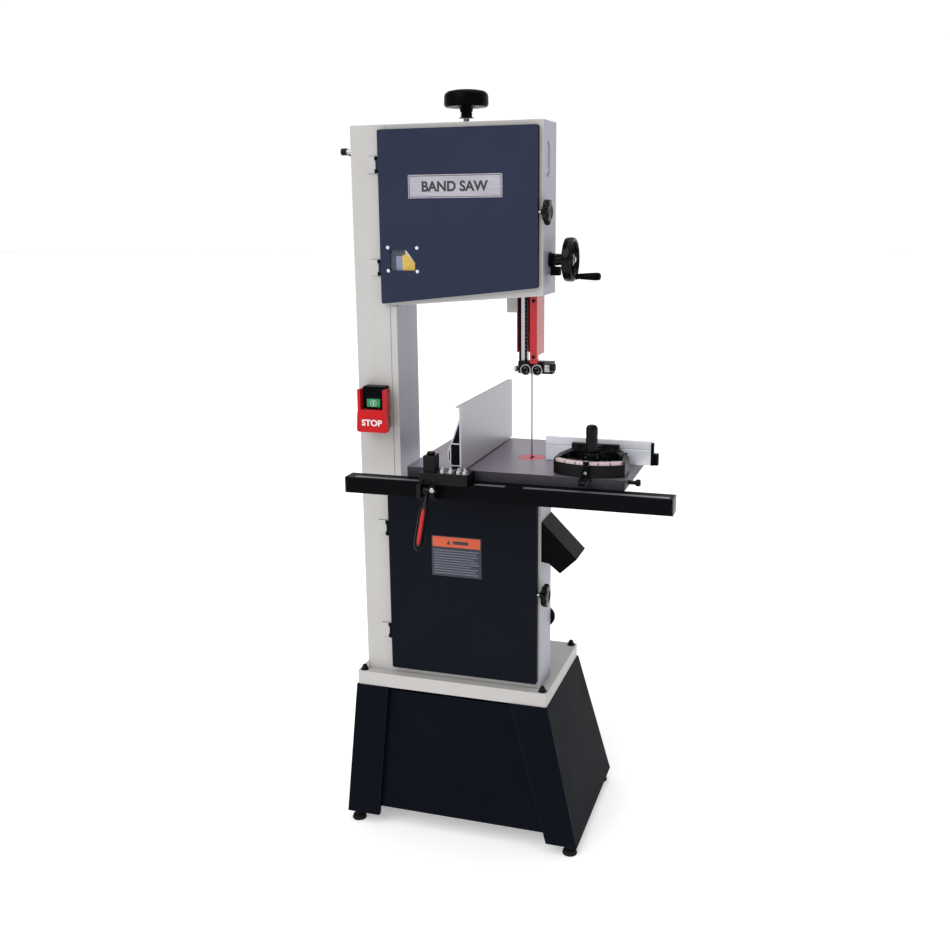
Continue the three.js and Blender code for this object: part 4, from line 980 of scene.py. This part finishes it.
# The pin that holds the table's slot level, pushed in from the right
PIN_Y, PIN_RISE = -128, 9
table_low, table_high = node_box("table")
edge_x = table_high.x
pin = Build()
pin.lathe(
    (0, PIN_Y, table_low.z + PIN_RISE), "x",
    [(0, edge_x - 8), (5, edge_x - 8), (5, edge_x + 16), (7.5, edge_x + 17), (8.5, edge_x + 20),
     (8.5, edge_x + 26), (6, edge_x + 28.5), (0, edge_x + 29)],
    40,
)
pin.piece("table_alignment_pin", "table", BLACK_GLOSS)

END_CAP, CAP_PROUD = 2.6, 0.2
rail_low, rail_high = node_box("front_rail")
caps = Build()
for x0, x1 in ((rail_low.x - END_CAP, rail_low.x), (rail_high.x, rail_high.x + END_CAP)):
    caps.block(
        (x0, rail_low.y - CAP_PROUD, rail_low.z - CAP_PROUD),
        (x1, rail_high.y + CAP_PROUD, rail_high.z + CAP_PROUD),
        1.0,
    )
caps.piece("rail_end_caps", "table", CAP_PLASTIC)

# Scale tapes on the rail, thin enough for the fence carriage to slide over
TAPES = ((rail_low.x + 22, -226), (-84, -8), (38, rail_high.x - 8))
TICK, TICK_PITCH = 0.9, 10
tape = Build()
for x0, x1 in TAPES:
    tape.block((x0, rail_low.y + 6, rail_high.z - 0.2), (x1, rail_low.y + 20, rail_high.z + 0.12))
tape.m = 1
for x0, x1 in TAPES:
    for k in range(int((x1 - x0 - 8) / TICK_PITCH) + 1):
        x = x0 + 4 + TICK_PITCH * k
        back = rail_low.y + (15 if k % 5 == 0 else 11)
        tape.block((x, rail_low.y + 7, rail_high.z), (x + TICK, back, rail_high.z + 0.2))
tape.piece("rail_scale_tapes", "table", [TAPE_METAL, DARK_PRINT])

FRONT_SCREWS_X, FRONT_SCREWS_Z, UNDER_BOLTS_X = (-190, -40, 110, 250), 995, (-110, 70, 200)
bolts = Build()
for x in FRONT_SCREWS_X:
    bolts.cap_screw((x, rail_low.y, FRONT_SCREWS_Z), OUT_FRONT, 1.8, 1.2)
for x in UNDER_BOLTS_X:
    bolts.hex_bolt((x, rail_high.y - 8, rail_low.z), (0, 0, -1), 11, 6)
bolts.piece("rail_bolts", "table", BLACK_GLOSS)

# ---- rip fence
dress("rip_fence", ALUMINIUM, 0.3)
fence_low, fence_high = node_box("rip_fence")
fx = fence_high.x
# Black sheets just inside the extrusion's ends: painted shade in its dark hollows.
CHAMBERS = (
    [(fx - 4.3, 1161), (fx - 21.6, 1113.4), (fx - 4.3, 1113.4)],
    [(fx - 25.6, 1059.4), (fx - 4.4, 1059.4), (fx - 4.4, 1109.6), (fx - 25.6, 1109.6)],
)
PLUG_NEAR, PLUG_FAR = 1.5, 4
hollow_shade_plugs = Build()
for outline in CHAMBERS:
    hollow_shade_plugs.prism("y", outline, fence_low.y + PLUG_NEAR, fence_low.y + PLUG_FAR)
    hollow_shade_plugs.prism("y", outline, fence_high.y - PLUG_FAR, fence_high.y - PLUG_NEAR)
hollow_shade_plugs.piece("fence_hollow_shade_plugs", "rip_fence", BLACK_PAINT)

dress("fence_carriage", BLACK_CASTING, 1.6)
PIN_X, PIN_Z = -194, 1000  # of the lock lever's pin
carriage_low, carriage_high = node_box("fence_carriage")
saddle_top = fence_low.z - 0.4
bolt_y = carriage_low.y + 33
gear = Build()
for x in (-160, -139, -119, -103):
    gear.hex_bolt((x, bolt_y, saddle_top), "z", 13, 7)
    gear.lathe((x, bolt_y, saddle_top), "z", [(0, 6), (3.6, 6), (3.6, 13), (2.8, 14), (0, 14)], 20)
gear.lathe((-176, carriage_low.y, 1006), OUT_FRONT, [(0, 0), (6, 0), (6, 2), (4, 3.4), (0, 3.8)], 32)
gear.m = 1
gear.lathe(
    (PIN_X, carriage_high.y - 36, carriage_high.z), "z",
    [(0, 0), (9, 0), (10, 1.5), (10, 6), (8, 8), (0, 8.6)],
    48, lobes=(16, 0.8, 1),
)
gear.block(
    (-206, carriage_low.y + 30, carriage_high.z - 34),
    (-203, carriage_low.y + 54, carriage_high.z - 8),
    0.8,
)
gear.piece("carriage_hardware", "rip_fence", [STEEL, BLACK_GLOSS])

# The lock lever hangs from its pin, tilted out from the rail
pin_at = Vector((PIN_X, -250, PIN_Z))
lean = Matrix.Rotation(-math.pi / 6.4, 3, "X")
lever = Build()


def hanging(x, y, drop):
    """A point on the leaning lever, by its drop below the pin."""
    return pin_at + lean @ Vector((x, y, -drop))


def lever_ring(drop, half_width, half_depth, out, sides=36, power=2.6):
    """A rounded-square section of the lever."""
    ring = []
    for k in range(sides):
        a = 2 * math.pi * k / sides
        c, s = math.cos(a), math.sin(a)
        x = half_width * math.copysign(abs(c) ** (2 / power), c)
        y = half_depth * math.copysign(abs(s) ** (2 / power), s)
        ring.append(hanging(x, y + out, drop))
    return ring


def lever_body(sections, out, top, bottom):
    """Skins (drop, half width, half depth) sections, from a point to a point."""
    rows = [lever.points([top])]
    rows += [lever.points(lever_ring(*section, out)) for section in sections]
    rows.append(lever.points([bottom]))
    lever.rings(rows)


SHAPE = (
    (14, 5.5, 4.5), (22, 6, 5), (34, 7, 5.5), (41, 10.4, 6.8), (50, 12.4, 7.6), (64, 13, 8),
    (100, 13, 8), (126, 13, 7.8), (136, 12.2, 7.4), (143, 10, 6.4), (147, 6.6, 4.8), (148.8, 3, 2.4),
)
INLAY_OUT = -8.4
INLAY = ((48, 1.2, 0.8), (52, 3.4, 1.2), (70, 4.4, 1.5), (120, 4.2, 1.5), (132, 3.4, 1.2), (137, 1.2, 0.8))
lever_body(SHAPE, -0.5, hanging(0, 0, 13.8), hanging(0, -0.5, 149))
lever.lathe(
    pin_at, "x", [(4.4, -9.6), (8, -9.6), (9.2, -8.4), (9.2, 8.4), (8, 9.6), (4.4, 9.6)], 48, closed=True,
)
lever.tube([hanging(0, 0, d) for d in (6, 16, 24)], [4.5, 4.8, 5.2], 20)
lever.m = 1
lever_body(INLAY, INLAY_OUT, hanging(0, INLAY_OUT, 47), hanging(0, INLAY_OUT, 138))
lever.piece(
    "fence_lock_grip", "fence_lock", [BLACK_GLOSS, RED_PLASTIC], ("fence_lock_lever",),
    sharp=40,
)

# ---- miter gauge
FENCE_ENDS_X = (42.2, 307.5)
BAR_PAINT_FROM = -182  # the bar's front end is painted from here on


def front_end(p, n):
    return p.y < BAR_PAINT_FROM


def fence_end(p, n):
    return p.x < FENCE_ENDS_X[0] or p.x > FENCE_ENDS_X[1]


dress("miter_bar", STEEL, 0.5, BLACK_PAINT, front_end)
dress("miter_head", BLACK_CASTING, 1.4)
dress("miter_fence", ALUMINIUM_X, 0.4, BLACK_PLASTIC, fence_end)
HEAD_FLOOR, HEAD_TOP = 1051, 1078
PIVOT = Vector((182, -40, 0))
SPREAD, RIM = 0.65, 143  # half angle and radius of the head's curved rim
FORWARD = -math.pi / 2
ribs = Build()
for k in range(-4, 5):
    a = FORWARD + k * SPREAD / 4.6
    out = Vector((math.cos(a), math.sin(a), 0))
    across = Vector((-out.y, out.x, 0)) * 1.6
    near, far = PIVOT + out * (104 if k == 0 else 88), PIVOT + out * (RIM - 14)
    outline = [near - across, far - across, far + across, near + across]
    ribs.prism("z", [(p.x, p.y) for p in outline], HEAD_FLOOR, HEAD_TOP - 6)
for x in (-58, -30, 34):
    ribs.disc((PIVOT.x + x, PIVOT.y + 2, 1080), "z", 7.5, -24, 1.5, 1.5, 40)
    ribs.cap_screw((PIVOT.x + x, PIVOT.y + 2, 1081), "z", 4.5, 4)
for s in (-1, 1):
    for k in range(4):
        x, y = PIVOT.x + s * (66 + k * 1.5), PIVOT.y - 60 + k * 14
        ribs.block((x - 4, y, HEAD_FLOOR + 1), (x + 4, y + 4, HEAD_TOP + 2 - k * 0.5), 0.8)
ribs.disc((PIVOT.x, PIVOT.y, HEAD_TOP), "z", 12, 0, 4, 1.2)
ribs.hex_bolt((PIVOT.x, PIVOT.y, HEAD_TOP + 4), "z", 14, 6)
ribs.piece("miter_head_ribs", "miter_head", BLACK_CASTING)


def arc_strip(build, inner, outer, a0, a1, z0, z1, steps):
    """A flat curved strip about the miter pivot."""
    rows = []
    for i in range(steps + 1):
        a = a0 + (a1 - a0) * i / steps
        c, s = math.cos(a), math.sin(a)
        rows.append(build.points([
            PIVOT + Vector((c * inner, s * inner, z0)), PIVOT + Vector((c * outer, s * outer, z0)),
            PIVOT + Vector((c * outer, s * outer, z1)), PIVOT + Vector((c * inner, s * inner, z1)),
        ]))
    build.rings(rows)
    build.face(rows[0])
    build.face(rows[-1][::-1])


# The scale lies on top of the rim and folds down over its face
STRIP_STEPS, STRIP_DROP = 52, 6.5
STRIP_FROM, STRIP_TO = FORWARD - SPREAD * 0.93, FORWARD + SPREAD * 0.93
face_low = HEAD_TOP - STRIP_DROP
scale = Build()
arc_strip(scale, RIM - 12, RIM + 0.5, STRIP_FROM, STRIP_TO, HEAD_TOP, HEAD_TOP + 0.7, STRIP_STEPS)
arc_strip(scale, RIM, RIM + 0.7, STRIP_FROM, STRIP_TO, face_low, HEAD_TOP + 0.2, STRIP_STEPS)
scale.m = 1
for k in range(-30, 31, 2):
    a = FORWARD + math.radians(k * 1.12)
    tenth = k % 10 == 0
    long = 7.5 if tenth else 4
    thin, wide = 0.0035, 0.011 if tenth else 0.0035
    arc_strip(
        scale, RIM - 11.5, RIM - 11.5 + long, a - thin, a + thin, HEAD_TOP + 0.6, HEAD_TOP + 1.0, 1,
    )
    arc_strip(scale, RIM + 0.6, RIM + 1.0, a - wide, a + wide, face_low, face_low + 0.8 * long, 1)
scale.piece("miter_scale", "miter_head", [SCALE_METAL, DARK_PRINT])

pointer = Build()
pointer.block((173, -192, 1040.8), (191, -185, 1070), 1.2)
pointer.block((175, -190.5, 1066), (189, -186, 1081.5), 1.0)
pointer.block((172.4, -230, 1040.8), (191.6, -186, 1046), 1.2)
pointer.m = 1
pointer.prism("z", [(178, -189), (186, -189), (182.4, -177), (181.6, -177)], 1081.2, 1082.4)
pointer.cap_screw((182, -192, 1054), OUT_FRONT, 4, 3)
pointer.piece("miter_pointer", "miter_bar", [BLACK_PAINT, STEEL])

GROOVES, GROOVE_PITCH, GROOVES_FROM = 12, 4.9, 1090
handle_mid = middle("miter_handle")
grip = Build()
grip.lathe(
    (handle_mid.x, handle_mid.y, 0), "z",
    [(0, 1051.6), (5, 1051.6), (5, 1079), (13, 1079), (15.4, 1081), (15.4, 1086), (13.6, 1089)]
    + [
        (14 + 0.6 * math.sin(k * math.pi / 4) ** 2, GROOVES_FROM + k * GROOVE_PITCH)
        for k in range(GROOVES)
    ]
    + [(14.8, 1146), (13.6, 1152), (10, 1156.4), (5, 1157.8), (0, 1158)],
    120, lobes=(12, 1.5, 0.8),
)
grip.piece("miter_grip", "miter_handle", BLACK_GLOSS, ("miter_handle",))

# ---- switch
dress("start_button", GREEN_PLASTIC, 1.4)
dress("stop_paddle", RED_PLASTIC, 2.0)
STOP_Z = 1132
paddle_low, paddle_high = node_box("stop_paddle")
button_low, button_high = node_box("start_button")
lettering(
    "stop_letters", "STOP", ((paddle_low.x + paddle_high.x) / 2, paddle_low.y, STOP_Z), 56, 16.5, 0.6,
    "stop_paddle", WHITE_PRINT,
)
mark = Build()
bx, bz = (button_low.x + button_high.x) / 2, (button_low.z + button_high.z) / 2
mark.block((bx - 1.1, button_low.y - 0.4, bz - 5), (bx + 1.1, button_low.y, bz + 5), 0.1)
mark.ring((bx, button_low.y, bz), "y", 8, 0.5, 48, 8)
mark.piece("start_mark", "start_button", WHITE_PRINT)

# Two screws at the top, and a line above and below the button
SCREW_INSET, SCREW_Z, LINE_HALF, LINE_TALL = 8, 1215, 22, 1.6
box_low, box_high = node_box("switch_box")
face = Build()
for x in (box_low.x + SCREW_INSET, box_high.x - SCREW_INSET):
    face.cap_screw((x, box_low.y, SCREW_Z), OUT_FRONT, 3.2, 1.6)
for z in (1167, 1193.4):
    face.block((bx - LINE_HALF, box_low.y - 0.8, z), (bx + LINE_HALF, box_low.y, z + LINE_TALL), 0.3)
face.piece("switch_face_details", "frame", BLACK_GLOSS)

# ---- studio
FLOOR_HALF, FLOOR_DROP, FLOOR_THICK = 40000, -0.4, 20
FLOOR_GLOW = 0.34  # a lit table, so that the floor stays pale to its far edge
corners = [(x * FLOOR_HALF, y * FLOOR_HALF) for x, y in ((-1, -1), (1, -1), (1, 1), (-1, 1))]
floor_build = Build()
floor_build.prism("z", corners, FLOOR_DROP - FLOOR_THICK, FLOOR_DROP)
floor_mesh = floor_build.mesh("floor")
floor = add_object("floor", floor_mesh)
floor_paint = finish(
    "studio_floor", (240, 240, 240), 0.9, specular=0.05, mottle=0.005, grain=0.02, grain_scale=30,
)
set_inputs(
    floor_paint.node_tree.nodes["Principled BSDF"],
    Emission_Color=(1, 1, 1, 1), Emission_Strength=FLOOR_GLOW,
)
floor_mesh.materials.append(floor_paint)

# The sky is pale low down on the saw's far side, and dimmer everywhere else.
SKY_DIM, SKY_BRIGHT = 0.42, 1.02
world = bpy.data.worlds.new("studio")
bpy.context.scene.world = world
world.use_nodes = True
sky, wire = world.node_tree, world.node_tree.links.new
split = add_node(sky, "SeparateXYZ")
wire(add_node(sky, "TexCoord").outputs["Generated"], split.inputs[0])


def sky_fade(axis, start, end, low, high):
    """A ramp from low to high as a direction's part along an axis goes from start to end."""
    node = add_node(sky, "MapRange", From_Min=start, From_Max=end, To_Min=low, To_Max=high)
    wire(split.outputs[axis], node.inputs["Value"])
    return node.outputs["Result"]


behind = add_node(sky, "Math")
behind.operation = "MULTIPLY"
wire(sky_fade("Y", 0.3, 0.72, 0.0, 1.0), behind.inputs[0])
wire(sky_fade("Z", 0.2, 0.5, 1.0, 0.0), behind.inputs[1])
glow = add_node(sky, "MapRange", To_Min=SKY_DIM, To_Max=SKY_BRIGHT)
wire(behind.outputs[0], glow.inputs["Value"])
wire(glow.outputs["Result"], sky.nodes["Background"].inputs["Strength"])
set_inputs(sky.nodes["Background"], Color=(1, 1, 1, 1))


def sun(name, toward, strength, spread):
    """A far soft light, given by the direction toward it."""
    light = bpy.data.lights.new(name, "SUN")
    light.energy = strength
    light.angle = math.radians(spread)
    add_object(name, light).rotation_euler = (-Vector(toward)).to_track_quat("-Z", "Y").to_euler()


sun("key_light", (-0.35, -0.75, 0.62), 1.5, 50)
sun("top_light", (0.1, 0.1, 1.0), 1.1, 70)

# The camera stands where the photograph was taken from, in metres in the row frame.
CAMERA_AT = (0.7724, -2.63265, 1.6611)
YAW, PITCH, ROLL = math.radians(18.1), math.radians(13.7), math.radians(-0.6)
LENS, SENSOR = 41.39, 36
camera = add_object("camera", bpy.data.cameras.new("camera"))
camera.data.lens = LENS
camera.data.sensor_width = SENSOR
camera.data.clip_end = 200
camera.matrix_world = (
    Matrix.Translation(CAMERA_AT) @ Matrix.Rotation(YAW, 4, "Z")
    @ Matrix.Rotation(math.pi / 2 - PITCH, 4, "X") @ Matrix.Rotation(ROLL, 4, "Z")
)
bpy.context.scene.camera = camera
bpy.context.scene.view_settings.view_transform = "Standard"
